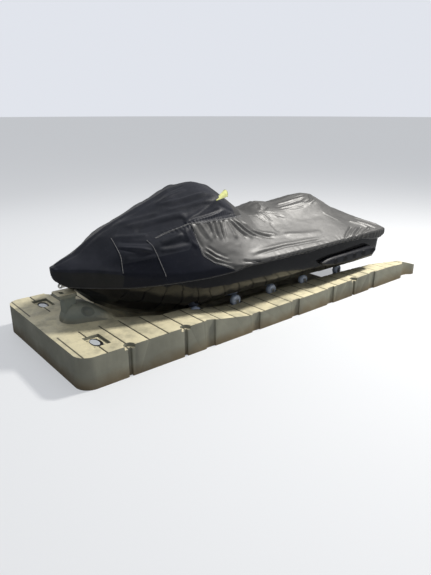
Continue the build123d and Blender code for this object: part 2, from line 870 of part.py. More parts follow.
def make_grate():
    """A frame and bars across the mouth of the intake, cut to the duct's wall."""
    duct = intake_duct(intake_radius)
    front, top = pump_front_x + duct_length, grate_bottom + grate_bar_height
    slab = box(pump_front_x, front, -2 * intake_radius, 2 * intake_radius, grate_bottom, top)
    grate = slab & (duct - intake_duct(intake_radius - grate_frame))
    half = grate_bar_width / 2
    for number in range(grate_bars):
        y = (number - (grate_bars - 1) / 2) * grate_pitch
        grate += box(pump_front_x, front, y - half, y + half, grate_bottom, top) & duct
    return grate


def make_nozzle():
    """Steering nozzle on two upright pins."""
    front = steer_x + bell_lead
    outer = bell_inner + bell_wall
    profile = [
        (front, bell_inner),
        (front, outer),
        (bell_rear_x, outer),
        (steer_tip_x, steer_tip_radius + steer_tip_wall),
        (steer_tip_x, steer_tip_radius),
        (bell_rear_x, bell_inner),
    ]
    nozzle = revolve(make_face(Polyline(*profile, close=True)), Axis.X)
    for side in (-1, 1):
        low, high = sorted((side * (bell_inner + 1), side * outer))
        nozzle += box(steer_x - steer_lug_half_width, front + steer_lug_ahead,
                      -steer_lug_half_width, steer_lug_half_width, low, high)
    nozzle -= rod((steer_x, 0, -2 * outer), (steer_x, 0, 2 * outer), steer_pin_radius + axle_play)
    length, width, height = steer_arm
    arm_rear = bell_rear_x - length
    nozzle += box(arm_rear, bell_rear_x, bell_inner - 4, outer + height, -width / 2, width / 2)
    return Pos(0, 0, shaft_z) * nozzle


def make_bucket():
    """Reverse bucket, drawn lowered and then turned up to its stowed place."""
    half = radians(bucket_half_angle)
    outer = bucket_radius + bucket_wall

    def at(radius, angle):
        return bucket_centre_x - radius * cos(angle), 0, shaft_z + radius * sin(angle)

    arcs = ThreePointArc(at(outer, -half), at(outer, 0), at(outer, half))
    arcs += Line(at(outer, half), at(bucket_radius, half))
    arcs += ThreePointArc(at(bucket_radius, half), at(bucket_radius, 0), at(bucket_radius, -half))
    arcs += Line(at(bucket_radius, -half), at(outer, -half))
    reach = bucket_inner_half_width + bucket_arm_thickness
    shell = extrude(make_face(arcs), amount=reach, dir=(0, 1, 0), both=True)
    cheek_front = bucket_pivot_x + bucket_cheek
    cheek = [(cheek_front, bucket_pivot_z + bucket_cheek), (cheek_front, bucket_pivot_z - bucket_cheek)]
    for step in range(5):
        x, _, z = at(bucket_radius + 2, -half + step * half / 2)
        cheek.append((x, z))
    arm = side_plate(cheek, bucket_inner_half_width, reach)
    arm -= rod((bucket_pivot_x, 0, bucket_pivot_z), (bucket_pivot_x, 2 * reach, bucket_pivot_z),
               bucket_pin_radius + axle_play)
    bucket = shell + arm + mirror(arm, about=Plane.XZ)
    pivot = Axis((bucket_pivot_x, 0, bucket_pivot_z), (0, 1, 0))
    return bucket.rotate(pivot, bucket_travel)


# Boarding step

def make_step():
    """A U-shaped tube that folds down behind the transom."""
    half = step_width / 2
    low = step_pivot_z - step_heel
    high = step_pivot_z + step_reach
    start = (step_x, step_y - half, low)
    route = FilletPolyline(start, (step_x, step_y - half, high), (step_x, step_y + half, high),
                           (step_x, step_y + half, low), radius=step_bend)
    step = sweep(Plane(origin=start, z_dir=(0, 0, 1)) * Circle(step_tube_radius), path=route)
    bore = step_pin_radius + axle_play
    return step - rod((step_x, step_y - 2 * half, step_pivot_z), (step_x, step_y + 2 * half, step_pivot_z), bore)


def make_step_brackets():
    """Ears on the transom with the pins of the step."""
    brackets = []
    for side in (-1, 1):
        leg = step_y + side * step_width / 2
        near = leg - side * (step_tube_radius + step_side_gap)
        far = near - side * step_ear_thickness
        pin_end = leg + side * (step_tube_radius + step_pin_reach)
        ear = box(step_x - step_ear_half, transom_x, near, far,
                  step_pivot_z - step_ear_half, step_pivot_z + step_ear_half)
        ear += rod((step_x, far, step_pivot_z), (step_x, pin_end, step_pivot_z), step_pin_radius)
        brackets.append(ear)
    return Compound(children=brackets)


# Sponsons, eyes, plugs

def make_sponson(side, hull):
    """A moulded stabiliser along the rear of the hull side."""
    plate = side_plate(sponson_profile, sponson_inner_y, sponson_outer_y)
    plate = chamfer(plate.faces().sort_by(Axis.Y)[-1].edges(), sponson_chamfer)
    solid = largest(plate - hull)
    return solid if side > 0 else mirror(solid, about=Plane.XZ)


def make_bow_eye(hull):
    """The towing eye on the stem."""
    outer = bow_eye_bore + bow_eye_wall
    half = eye_thickness / 2
    root = outer - 4
    eye = rod((bow_eye_x, -half, bow_eye_z), (bow_eye_x, half, bow_eye_z), outer)
    eye += box(bow_eye_x - bow_eye_root, bow_eye_x, -half, half, bow_eye_z - root, bow_eye_z + root)
    eye -= rod((bow_eye_x, -outer, bow_eye_z), (bow_eye_x, outer, bow_eye_z), bow_eye_bore)
    return largest(eye - hull)


def make_stern_eyes():
    """Two eyes on the transom."""
    x = transom_x - stern_eye_reach
    half = eye_thickness / 2
    outer = stern_eye_bore + stern_eye_wall
    inner_y, outer_y = stern_eye_y - half, stern_eye_y + half
    eye = rod((x, inner_y, stern_eye_z), (x, outer_y, stern_eye_z), outer)
    eye += box(x, transom_x, inner_y, outer_y, stern_eye_z - outer, stern_eye_z + outer)
    eye -= rod((x, inner_y - 5, stern_eye_z), (x, outer_y + 5, stern_eye_z), stern_eye_bore)
    return Compound(children=pair(eye))


def make_plugs():
    """Drain plugs low on the transom, each with a slot for a coin."""
    rear = transom_x - plug_height
    plug = rod((rear, plug_y, plug_z), (transom_x, plug_y, plug_z), plug_radius)
    width, height, depth = plug_slot
    plug -= box(rear - 1, rear + depth, plug_y - width / 2, plug_y + width / 2,
                plug_z - height / 2, plug_z + height / 2)
    return Compound(children=pair(plug))


def make_engine():
    """The engine as one plain block on the floor of its bay."""
    return box(engine_x - engine_length / 2, engine_x + engine_length / 2, -engine_width / 2, engine_width / 2,
               engine_floor, engine_floor + engine_height)


def main():
    """Build every sub-part and write it."""
    os.makedirs("parts", exist_ok=True)
    save("port_float", make_float())
    save("wheel_axles", make_axles())
    for side, name, number, x in wheels():
        hub, tyre = make_wheel(side, x)
        save(f"hub_{name}_{number}", hub)
        save(f"tyre_{name}_{number}", tyre)
    save("front_brackets", make_brackets())
    hull = make_hull()
    save("hull", hull)
    save("deck", make_deck())
    save("bumper", make_bumper())
    front, middle, rear, outer = make_cover()
    save("cover_front", front)
    save("cover_middle", middle)
    save("cover_rear", rear)
    save("cover_hem", make_hem())
    save("vent_hoods", make_vents(outer))
    save("pump_housing", make_pump())
    save("impeller", make_impeller())
    save("ride_plate", make_ride_plate())
    save("intake_grate", make_grate())
    save("steering_nozzle", make_nozzle())
    save("reverse_bucket", make_bucket())
    save("boarding_step", make_step())
    save("step_brackets", make_step_brackets())
    save("sponson_port", make_sponson(1, hull))
    save("sponson_starboard", make_sponson(-1, hull))
    save("bow_eye", make_bow_eye(hull))
    save("stern_eyes", make_stern_eyes())
    save("drain_plugs", make_plugs())
    save("engine_block", make_engine())


main()
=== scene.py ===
"""Looks of the covered personal watercraft on its drive-on float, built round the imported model.

Metres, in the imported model's own frame: +X to the bow, +Y to port, +Z up, waterline at 0.13.
"""
from contextlib import contextmanager
from math import cos, dist, pi, radians, sin

import bmesh
import bpy
import numpy as np
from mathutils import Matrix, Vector, noise
from mathutils.bvhtree import BVHTree


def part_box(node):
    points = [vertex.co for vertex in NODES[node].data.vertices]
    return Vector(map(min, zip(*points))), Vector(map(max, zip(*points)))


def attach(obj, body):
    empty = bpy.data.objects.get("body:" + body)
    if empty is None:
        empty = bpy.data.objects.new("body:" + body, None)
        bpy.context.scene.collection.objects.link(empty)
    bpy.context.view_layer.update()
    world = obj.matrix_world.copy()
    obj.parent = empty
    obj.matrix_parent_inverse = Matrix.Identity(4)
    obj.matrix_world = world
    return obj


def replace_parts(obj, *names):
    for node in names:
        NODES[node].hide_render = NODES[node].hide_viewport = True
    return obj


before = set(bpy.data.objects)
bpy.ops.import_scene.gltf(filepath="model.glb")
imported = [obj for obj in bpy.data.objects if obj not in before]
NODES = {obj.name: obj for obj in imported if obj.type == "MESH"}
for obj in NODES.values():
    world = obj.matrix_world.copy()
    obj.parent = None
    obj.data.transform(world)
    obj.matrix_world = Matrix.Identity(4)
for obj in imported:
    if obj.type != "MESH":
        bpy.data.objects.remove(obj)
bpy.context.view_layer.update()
ROOT = "port_and_craft"
SIDES = {"port": 1, "starboard": -1}
WATERLINE = 0.13
MM = 0.001
# Finished materials by name
MATERIALS = {}


# Node graphs

class Graph:
    """Short calls for building the nodes of the world or of a material."""

    def __init__(self, owner):
        owner.use_nodes = True
        self.tree = owner.node_tree

    def feed(self, socket, value):
        """Give a socket another node's output, a colour or a number."""
        if isinstance(value, bpy.types.NodeSocket):
            self.tree.links.new(value, socket)
        else:
            socket.default_value = (*value, 1) if socket.type == "RGBA" else value

    def node(self, kind, inputs=(), **settings):
        """A new shader node. Inputs go by the socket's name or number."""
        made = self.tree.nodes.new("ShaderNode" + kind)
        for key, value in settings.items():
            setattr(made, key, value)
        for key, value in dict(inputs).items():
            self.feed(made.inputs[key], value)
        return made

    def math(self, operation, *values):
        return self.node("Math", enumerate(values), operation=operation).outputs[0]

    def times(self, first, second):
        return self.math("MULTIPLY", first, second)

    def ramp(self, value, low=0.0, high=1.0, to_low=0.0, to_high=1.0):
        """The range from low to high spread over another range, and held at its ends."""
        inputs = {"Value": value, "From Min": low, "From Max": high,
                  "To Min": to_low, "To Max": to_high}
        return self.node("MapRange", inputs).outputs["Result"]


class Surface(Graph):
    """A material's graph, with its shader and the place in object coordinates."""

    def __init__(self, name):
        MATERIALS[name] = bpy.data.materials.new(name)
        super().__init__(MATERIALS[name])
        self.shader = self.tree.nodes["Principled BSDF"]
        self.place = self.node("TexCoord").outputs["Object"]

    def set(self, inputs):
        """Give the shader its values."""
        for name, value in inputs.items():
            self.feed(self.shader.inputs[name], value)

    def axes(self, vector):
        return self.node("SeparateXYZ", {0: vector}).outputs

    def stretched(self, scale):
        inputs = {"Vector": self.place, "Scale": scale}
        return self.node("Mapping", inputs).outputs["Vector"]

    def noise(self, scale, detail=4, rough=0.55, vector=None):
        inputs = {"Vector": vector or self.place, "Scale": scale, "Detail": detail,
                  "Roughness": rough}
        return self.node("TexNoise", inputs).outputs["Fac"]

    def cloud(self, scale, detail=4, rough=0.55, low=0.0, high=1.0):
        """Soft noise that reaches both ends of a range."""
        return self.ramp(self.noise(scale, detail, rough), 0.3, 0.7, low, high)

    def mix(self, factor, first, second):
        inputs = {0: factor, 6: first, 7: second}
        return self.node("Mix", inputs, data_type="RGBA").outputs[2]

    def bump(self, height, strength, distance):
        """Relief, on top of what the surface already has."""
        inputs = {"Height": height, "Strength": strength, "Distance": distance}
        normal = self.shader.inputs["Normal"]
        if normal.links:
            inputs["Normal"] = normal.links[0].from_socket
        self.feed(normal, self.node("Bump", inputs).outputs["Normal"])


# Camera, floor and light

CAMERA_PLACE = (3.248, 3.516, 1.92)
CAMERA_HEADING = (-0.6394, -0.7689, 0)
CAMERA_DOWN = radians(19.5)
CAMERA_LENS = 32.2
FLOOR_RADIUS = 90
# Share of plain glow in the floor, as the camera sees it and in its mirror images
FLOOR_SEEN, FLOOR_MIRRORED = 0.45, 0.90
# The world's strength as a light and as the camera sees it, and what mirror images keep of it
WORLD_LIGHT, WORLD_SEEN, WORLD_MIRRORED = 0.50, 0.84, 0.20
# Name, place, target, size, power and colour
LIGHTS = [
    ("key", (-3.3, 1.55, 5.8), (-0.2, 0.1, 0.6), 0.8, 660, (1.0, 0.97, 0.92)),
    ("side_fill", (2.5, 5.5, 3.2), (0.2, 0, 0.5), 3.0, 14, (1, 1, 1)),
    ("back_fill", (1.0, -5.0, 4.0), (0, 0, 0.6), 3.0, 50, (1, 1, 1)),
]


def new_object(name, data):
    """An object in the scene."""
    made = bpy.data.objects.new(name, data)
    bpy.context.scene.collection.objects.link(made)
    return made


def turned_along(direction):
    """Rotation of a camera or lamp that looks in a direction."""
    return direction.to_track_quat("-Z", "Y").to_euler()


def make_camera():
    """The camera at the photograph's place, looking down across the port bow."""
    data = bpy.data.cameras.new("camera")
    data.lens = CAMERA_LENS
    data.sensor_width = 36
    data.clip_end = 300
    camera = new_object("camera", data)
    camera.location = CAMERA_PLACE
    level = Vector(CAMERA_HEADING).normalized()
    camera.rotation_euler = turned_along(
        level * cos(CAMERA_DOWN) - Vector((0, 0, sin(CAMERA_DOWN))))
    bpy.context.scene.camera = camera


def make_floor():
    """Pale floor at the waterline."""
    bpy.ops.mesh.primitive_circle_add(
        vertices=96, radius=FLOOR_RADIUS, fill_type="NGON", location=(0, 0, WATERLINE))
    floor = bpy.context.object
    floor.name = "floor"
    graph = Surface("pale_floor")

    def glowing(color):
        return graph.node("Emission", {"Color": color}).outputs["Emission"]

    def blend(factor, first, second):
        inputs = {"Fac": factor, 1: first, 2: second}
        return graph.node("MixShader", inputs).outputs["Shader"]

    graph.set({"Base Color": (0.62, 0.63, 0.64), "Roughness": 0.75})
    path = graph.node("LightPath").outputs
    seen = blend(graph.times(path["Is Camera Ray"], FLOOR_SEEN),
                 graph.shader.outputs["BSDF"], glowing((0.90, 0.92, 0.95)))
    mirrored = blend(graph.times(path["Is Glossy Ray"], FLOOR_MIRRORED),
                     seen, glowing((0.16, 0.17, 0.18)))
    graph.feed(graph.tree.nodes["Material Output"].inputs["Surface"], mirrored)
    floor.data.materials.append(MATERIALS["pale_floor"])


def make_light():
    """Pale world, a key light from the port quarter and two fills."""
    world = bpy.data.worlds.new("pale_world")
    bpy.context.scene.world = world
    graph = Graph(world)
    path = graph.node("LightPath").outputs
    strength = graph.times(graph.ramp(path["Is Camera Ray"], 0, 1, WORLD_LIGHT, WORLD_SEEN),
                           graph.ramp(path["Is Glossy Ray"], 0, 1, 1.0, WORLD_MIRRORED))
    background = graph.tree.nodes["Background"].inputs
    graph.feed(background["Color"], (0.90, 0.93, 1.0))
    graph.feed(background["Strength"], strength)
    for name, place, target, size, power, color in LIGHTS:
        data = bpy.data.lights.new(name, "AREA")
        data.size, data.energy, data.color = size, power, color
        light = new_object(name, data)
        light.location = place
        light.rotation_euler = turned_along(Vector(target) - Vector(place))


# Materials

# Places on the float: the first cross groove, the grooves' pitch, where they end beside the trough,
# the hollow in each of the mound's sides, and the oval opening over each front plate. The grooves
# and hollows are painted in shade
GROOVE_START, GROOVE_PITCH, GROOVE_END = 1.83, 0.1634, 0.250
HOLLOW_PLACE, HOLLOW_RADIUS = (1.690, 0.180, 0.490), 0.0875
PLATE_X, PLATE_Y = 1.80, 0.47
OVAL_X, OVAL_Y = 0.040, 0.072


def shade(color, factor):
    return tuple(min(1.0, channel * factor) for channel in color)


def solid_material(name, color, rough, metal=0.0, grain=(300, 0.15, 0.4), wear=None):
    """Cast, moulded or painted stuff: mottled colour, uneven gloss, fine grain and worn places.

    Grain is the relief's scale, strength and depth in millimetres, wear is a colour and its share.
    """
    graph = Surface(name)
    tint = graph.mix(graph.cloud(9, 5), shade(color, 0.88), shade(color, 1.12))
    if wear:
        rubbed = graph.ramp(graph.noise(24, 6, 0.7), 0.56, 0.72, 0.0, wear[1])
        tint = graph.mix(rubbed, tint, wear[0])
    gloss = graph.cloud(14, low=rough - 0.06, high=rough + 0.08)
    graph.set({"Base Color": tint, "Roughness": gloss, "Metallic": metal})
    scale, strength, depth = grain
    graph.bump(graph.noise(scale, 3), strength, depth * MM)


def brushed_material(name, color, rough):
    """Machined or drawn metal with fine lines."""
    graph = Surface(name)
    lines = graph.noise(12, 3, 0.6, graph.stretched((8, 8, 160)))
    graph.set({
        "Base Color": graph.mix(graph.ramp(lines, 0.3, 0.7), shade(color, 0.84), shade(color, 1.1)),
        "Roughness": graph.ramp(lines, 0.3, 0.7, rough - 0.05, rough + 0.12),
        "Metallic": 1.0,
    })
    graph.bump(lines, 0.12, 0.2 * MM)


def groove_shade(graph, place, upward):
    """Painted shade in the cross grooves of the float's deck: how dark each place of the deck is
    drawn.
    """
    # The whole pitches that are added keep the number positive, for its fraction
    phase = graph.math("ADD", graph.math("DIVIDE", place["X"], GROOVE_PITCH),
                       100.5 - GROOVE_START / GROOVE_PITCH)
    off = graph.math("ABSOLUTE", graph.math("SUBTRACT", graph.math("FRACT", phase), 0.5))
    groove = graph.ramp(graph.times(off, GROOVE_PITCH), 0.0035, 0.0075, 0.92, 0.0)
    outer = graph.ramp(graph.math("ABSOLUTE", place["Y"]), GROOVE_END, GROOVE_END + 0.004)
    return graph.times(graph.times(groove, graph.ramp(upward, 0.45, 0.60)), outer)


def float_material():
    """Moulded polyethylene in sand, with random grime and streaks, tide stain low down, and painted
    shade: darker grey-green walls, the cross grooves, the mound and its hollows.
    """
    graph = Surface("float_polyethylene")
    # side is the walls' painted shade colour; the random grime and streaks below are tinted with it
    # too
    sand, side, stain = (0.60, 0.545, 0.365), (0.175, 0.175, 0.135), (0.115, 0.082, 0.037)
    place = graph.axes(graph.place)
    upward = graph.axes(graph.node("NewGeometry").outputs["Normal"])["Z"]
    top = graph.mix(graph.cloud(3.2, 6), shade(sand, 0.86), shade(sand, 1.06))
    wall = graph.mix(graph.cloud(4.1, 6), shade(side, 0.85), shade(side, 1.15))
    # Painted shade: surfaces that face sideways get the darker wall colour, those that face up get
    # the sand
    base = graph.mix(graph.ramp(upward, 0.25, 0.80), wall, top)
    grime = graph.ramp(graph.noise(7, 7, 0.65), 0.46, 0.70, 0.0, 0.55)
    base = graph.mix(grime, base, shade(side, 0.75))
    streaks = graph.noise(9, 5, 0.6, graph.stretched((1.6, 1.6, 0.15)))
    base = graph.mix(graph.ramp(streaks, 0.5, 0.75, 0.0, 0.30), base, shade(side, 0.6))
    # Painted shade in the cross grooves
    base = graph.mix(groove_shade(graph, place, upward), base, (0.022, 0.022, 0.016))
    # Painted shade: the mound is drawn grey-teal, as in the shadow of the bow, and the tongue on
    # top is left out
    mound_shade = graph.times(graph.ramp(place["Z"], 0.385, 0.420), graph.ramp(place["X"], 1.30, 1.45))
    mound_shade = graph.times(mound_shade, graph.ramp(place["Z"], 0.555, 0.590, 0.75, 0.0))
    base = graph.mix(mound_shade, base, (0.155, 0.180, 0.160))
    # Painted shade in the hollow on each side of the mound, darkest under its upper edge
    x, y, z = HOLLOW_PLACE
    for side_y in (y, -y):
        reach = graph.node("VectorMath", {0: graph.place, 1: (x, side_y, z)},
                           operation="DISTANCE").outputs["Value"]
        hollow_shade = graph.ramp(reach, HOLLOW_RADIUS - 0.0015, HOLLOW_RADIUS + 0.0015, 1.0, 0.0)
        hollow_shade = graph.times(hollow_shade, graph.ramp(place["Z"], 0.450, 0.545, 0.45, 0.95))
        base = graph.mix(hollow_shade, base, (0.045, 0.052, 0.045))
    height = graph.math("ADD", place["Z"], graph.cloud(6, 5, low=-0.025, high=0.025))
    base = graph.mix(graph.ramp(height, 0.145, 0.235, 0.80, 0.0), base, stain)
    specks = graph.ramp(graph.noise(150, 2), 0.66, 0.72, 0.0, 0.30)
    base = graph.mix(specks, base, shade(stain, 1.4))
    graph.set({"Base Color": base, "Roughness": graph.cloud(11, 5, low=0.50, high=0.68)})
    graph.bump(graph.noise(5, 3), 0.25, 3 * MM)
    graph.bump(graph.noise(420, 3), 0.30, 0.5 * MM)


def plate_material():
    """A metal plate in an oval opening, with the float's polyethylene round it."""
    graph = Surface("plate_metal")
    place = graph.axes(graph.place)
    across = graph.math("DIVIDE", graph.math("SUBTRACT", place["X"], PLATE_X), OVAL_X)
    along = graph.math("SUBTRACT", graph.math("ABSOLUTE", place["Y"]), PLATE_Y)
    along = graph.math("DIVIDE", along, OVAL_Y)
    reach = graph.math("ADD", graph.times(across, across), graph.times(along, along))
    outside = graph.ramp(reach, 0.97, 1.03)
    cloud = graph.cloud(14, 5)
    metal = graph.mix(cloud, (0.50, 0.53, 0.56), (0.62, 0.65, 0.68))
    plastic = graph.mix(cloud, (0.50, 0.455, 0.30), (0.58, 0.53, 0.355))
    graph.set({
        "Base Color": graph.mix(outside, metal, plastic),
        "Metallic": graph.ramp(outside, 0, 1, 0.25, 0.0),
        "Roughness": graph.ramp(outside, 0, 1, 0.38, 0.60),
    })
    graph.bump(graph.noise(200, 3), 0.2, 0.4 * MM)


def hull_material():
    """Polished black gelcoat under clear, slightly wavy, with a film of dust."""
    graph = Surface("black_gelcoat")
    film = graph.ramp(graph.noise(6, 6, 0.6), 0.45, 0.75, 0.0, 0.35)
    graph.set({
        "Base Color": graph.mix(film, (0.003, 0.003, 0.004), (0.009, 0.009, 0.010)),
        "Roughness": graph.ramp(graph.noise(18, 5), 0.35, 0.75, 0.10, 0.22),
        "Specular IOR Level": 0.30,
        "Coat Weight": 0.25,
        "Coat Roughness": 0.05,
    })
    graph.bump(graph.noise(2.2, 2), 0.18, 5 * MM)
    graph.bump(graph.noise(700, 2), 0.04, 0.1 * MM)


def weave(graph, pitch, strength):
    """A plain weave: threads across each of the three directions."""
    inputs = {"Vector": graph.place, "Scale": 1 / (pitch * pi)}
    along, over, up = (
        graph.node("TexWave", inputs, bands_direction=axis).outputs["Fac"]
        for axis in "XYZ")
    graph.bump(graph.times(along, graph.math("MAXIMUM", up, over)), strength, 0.5 * MM)


def cover_material():
    """Woven polyester in several shades, with painted shade and a painted sky reflection on the
    taut lower side panel, and painted shade on the stern skirt. Attributes hold how far a place is
    inside each area.
    """
    graph = Surface("cover_cloth")

    def inside(name, soft=0.002, share=1.0):
        attribute = graph.node("Attribute", attribute_name=name)
        return graph.ramp(attribute.outputs["Fac"], -soft, soft, 0.0, share)

    cloud = graph.cloud(5, 6, 0.6)
    front = graph.mix(cloud, (0.010, 0.012, 0.018), (0.019, 0.021, 0.030))
    rear = graph.mix(cloud, (0.038, 0.038, 0.038), (0.056, 0.056, 0.055))
    # Painted shade and a painted sky reflection: the taut lower side panel is drawn darker and
    # bluer than the front
    taut_shade_colour = graph.mix(cloud, (0.003, 0.0045, 0.011), (0.005, 0.007, 0.016))
    skirt = graph.mix(cloud, (0.011, 0.012, 0.014), (0.017, 0.018, 0.021))
    color = graph.mix(inside("taut_shade_area"), front, taut_shade_colour)
    color = graph.mix(inside("skirt_area"), color, skirt)
    color = graph.mix(inside("rear_area"), color, rear)
    color = graph.mix(inside("hood_back", 0.006, 0.80), color, rear)
    # Painted shade: the stern's skirt below the rail is drawn darker, as under the cover's overhang
    color = graph.mix(inside("stern_skirt_shade", 0.004, 0.75), color, (0.010, 0.011, 0.011))
    color = graph.mix(inside("vent_area"), color, (0.016, 0.018, 0.026))
    dust = graph.ramp(graph.noise(28, 7, 0.7), 0.56, 0.80, 0.0, 0.06)
    satin = graph.cloud(16, low=0.50, high=0.60)
    graph.set({
        "Base Color": graph.mix(dust, color, (0.20, 0.20, 0.20)),
        "Roughness": graph.math("ADD", satin, graph.times(inside("rear_area"), -0.04)),
        "Specular IOR Level": graph.ramp(inside("rear_area"), 0, 1, 0.22, 0.80),
        "Sheen Weight": 0.06,
        "Sheen Roughness": 0.45,
    })
    graph.bump(graph.noise(26, 4, 0.5), 0.10, 3 * MM)
    graph.bump(graph.noise(90, 3, 0.5), 0.08, 1 * MM)
    weave(graph, 1.4 * MM, 0.20)


def tape_material(name, color, pitch=2.0 * MM):
    """Woven tape, welt or elastic band."""
    graph = Surface(name)
    graph.set({
        "Base Color": graph.mix(graph.cloud(30, 5), shade(color, 0.8), shade(color, 1.2)),
        "Roughness": 0.72,
        "Sheen Weight": 0.3,
    })
    weave(graph, pitch, 0.35)
    graph.bump(graph.noise(160, 3), 0.2, 0.6 * MM)


def make_materials():
    """Every material of the scene but the floor's."""
    float_material()
    plate_material()
    hull_material()
    cover_material()
    tape_material("seam_tape", (0.016, 0.017, 0.020))
    tape_material("elastic_band", (0.014, 0.014, 0.016))
    tape_material("pale_piping", (0.13, 0.13, 0.13), 1.2 * MM)
    tape_material("grey_thread", (0.34, 0.34, 0.34), 0.6 * MM)
    tape_material("lime_cloth", (0.40, 0.42, 0.13))
    tape_material("lime_binding", (0.46, 0.47, 0.26))
    tape_material("dark_net", (0.012, 0.012, 0.014), 3 * MM)
    brushed_material("stainless_steel", (0.62, 0.63, 0.65), 0.24)
    brushed_material("impeller_steel", (0.60, 0.61, 0.62), 0.22)
    solid_material("cast_aluminium", (0.26, 0.27, 0.28), 0.48, metal=1.0, grain=(240, 0.3, 0.5))
    solid_material("black_rubber", (0.022, 0.022, 0.024), 0.62, grain=(260, 0.3, 0.5))
    solid_material("sponson_plastic", (0.008, 0.009, 0.013), 0.42, grain=(520, 0.35, 0.4))
    # Near black: painted shade in the sponson wells, and the plate gaskets' own colour
    solid_material("recess_black", (0.004, 0.004, 0.005), 0.55)
    solid_material("float_plug", (0.50, 0.455, 0.30), 0.60)
    solid_material("bucket_plastic", (0.035, 0.036, 0.040), 0.46)
    solid_material("deck_plastic", (0.022, 0.023, 0.027), 0.40)
    solid_material("engine_paint", (0.15, 0.15, 0.16), 0.5)
    solid_material("hub_nylon", (0.66, 0.71, 0.78), 0.42, grain=(300, 0.2, 0.4),
                   wear=((0.06, 0.07, 0.09), 0.75))
    solid_material("wheel_polyurethane", (0.34, 0.40, 0.50), 0.50, grain=(330, 0.3, 0.5),
                   wear=((0.05, 0.06, 0.08), 0.70))


# Mesh helpers

def turns(count):
    """Angles of evenly spaced places round a circle."""
    return [2 * pi * k / count for k in range(count)]


def new_piece(name, verts, faces, material, body=ROOT):
    """A smooth mesh object that rides on a body."""
    mesh = bpy.data.meshes.new(name)
    mesh.from_pydata([tuple(v) for v in verts], [], faces)
    mesh.validate()
    mesh.materials.append(MATERIALS[material])
    mesh.polygons.foreach_set("use_smooth", [True] * len(mesh.polygons))
    piece = new_object(name, mesh)
    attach(piece, body)
    return piece


class Parts:
    """Collects many small shapes into one mesh."""

    def __init__(self):
        self.verts = []
        self.faces = []

    def add(self, verts, faces):
        start = len(self.verts)
        self.verts += verts
        self.faces += [tuple(start + i for i in face) for face in faces]

    def net(self, rows, ring=True, loop=False, flip=False):
        """Faces between rows of points. Ring closes each row, loop joins the last to the first."""
        count, faces = len(rows[0]), []
        for i in range(len(rows) if loop else len(rows) - 1):
            near, far = i * count, (i + 1) % len(rows) * count
            for k in range(count if ring else count - 1):
                after = (k + 1) % count
                a, b, c, d = near + k, near + after, far + k, far + after
                faces.append((a, c, d, b) if flip else (a, b, d, c))
        self.add([point for row in rows for point in row], faces)

    def lathe(self, centre, axis, profile, count=20):
        """A turned shape: profile rows are distance along the axis and radius."""
        axis = Vector(axis).normalized()
        across = axis.orthogonal().normalized()
        other = axis.cross(across)
        rows = []
        for along, radius in profile:
            middle = Vector(centre) + axis * along
            rows.append([middle + (across * cos(turn) + other * sin(turn)) * radius
                         for turn in turns(count)])
        first = len(self.verts)
        self.net(rows)
        last = len(self.verts) - count
        self.faces.append(tuple(range(first, first + count))[::-1])
        self.faces.append(tuple(range(last, last + count)))

    def ribbon(self, points, normals, profile):
        """A strip along points: profile rows are the offset sideways and outwards."""
        rows = []
        for i, (point, normal) in enumerate(zip(points, normals)):
            ahead = points[min(len(points) - 1, i + 1)] - points[max(0, i - 1)]
            out = normal.normalized()
            side = ahead.cross(out).normalized()
            rows.append([point + side * across + out * up for across, up in profile])
        self.net(rows, ring=False, flip=True)

    def stitches(self, points, normals, offset):
        """A row of stitches beside a path."""
        walked, next_start = 0.0, 0.0
        for point, after, normal in zip(points, points[1:], normals):
            size = (after - point).length
            ahead = (after - point).normalized()
            out = normal.normalized()
            side = ahead.cross(out).normalized()
            half = side * STITCH_WIDTH / 2
            slope = ahead * STITCH_LENGTH * 0.22
            while next_start < walked + size:
                start = (point + ahead * (next_start - walked) + side * offset
                         + out * STITCH_LIFT)
                end = start + ahead * STITCH_LENGTH
                foot = [start - half, start + half, end + half, end - half]
                crest = [corner + out * STITCH_HEIGHT + inwards
                         for corner, inwards in zip(foot, (slope, slope, -slope, -slope))]
                self.net([foot, crest])
                self.faces.append(tuple(range(len(self.verts) - 4, len(self.verts))))
                next_start += STITCH_LENGTH + STITCH_GAP
            walked += size

    def make(self, name, material, slot, body=ROOT):
        return new_piece(name, self.verts, self.faces, material, body)


@contextmanager
def editing(mesh):
    """A mesh opened for bmesh and written back."""
    bm = bmesh.new()
    bm.from_mesh(mesh)
    yield bm
    bm.to_mesh(mesh)
    bm.free()


def paint(mesh, material):
    """Give a mesh its finished material."""
    mesh.materials.clear()
    mesh.materials.append(MATERIALS[material])


def dressed_copy(node, name, material, edge, segments):
    """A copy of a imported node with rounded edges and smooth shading, which stands for it."""
    mesh = NODES[node].data.copy()
    mesh.name = name
    paint(mesh, material)
    piece = new_object(name, mesh)
    if mesh.has_custom_normals:
        bpy.context.view_layer.objects.active = piece
        bpy.ops.mesh.customdata_custom_splitnormals_clear()
    with editing(mesh) as bm:
        bmesh.ops.remove_doubles(bm, verts=bm.verts, dist=0.05 * MM)
        bmesh.ops.dissolve_limit(bm, angle_limit=radians(0.6), verts=bm.verts, edges=bm.edges)
    bevel = piece.modifiers.new("rounded_edges", "BEVEL")
    bevel.width = edge
    bevel.segments = segments
    bevel.limit_method = "ANGLE"
    bevel.angle_limit = radians(28)
    bevel.miter_outer = "MITER_ARC"
    evaluated = piece.evaluated_get(bpy.context.evaluated_depsgraph_get())
    mesh = bpy.data.meshes.new_from_object(evaluated)
    piece.modifiers.clear()
    piece.data = mesh
    with editing(mesh) as bm:
        for face in bm.faces:
            face.smooth = True
        for line in bm.edges:
            line.smooth = not (line.is_manifold and line.calc_face_angle(0) > radians(38))
    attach(piece, ROOT)
    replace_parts(piece, node)


# Cover: the cloth's form

def table(text):
    """Rows of numbers, from millimetres to metres."""
    return np.loadtxt(text.splitlines()) * MM


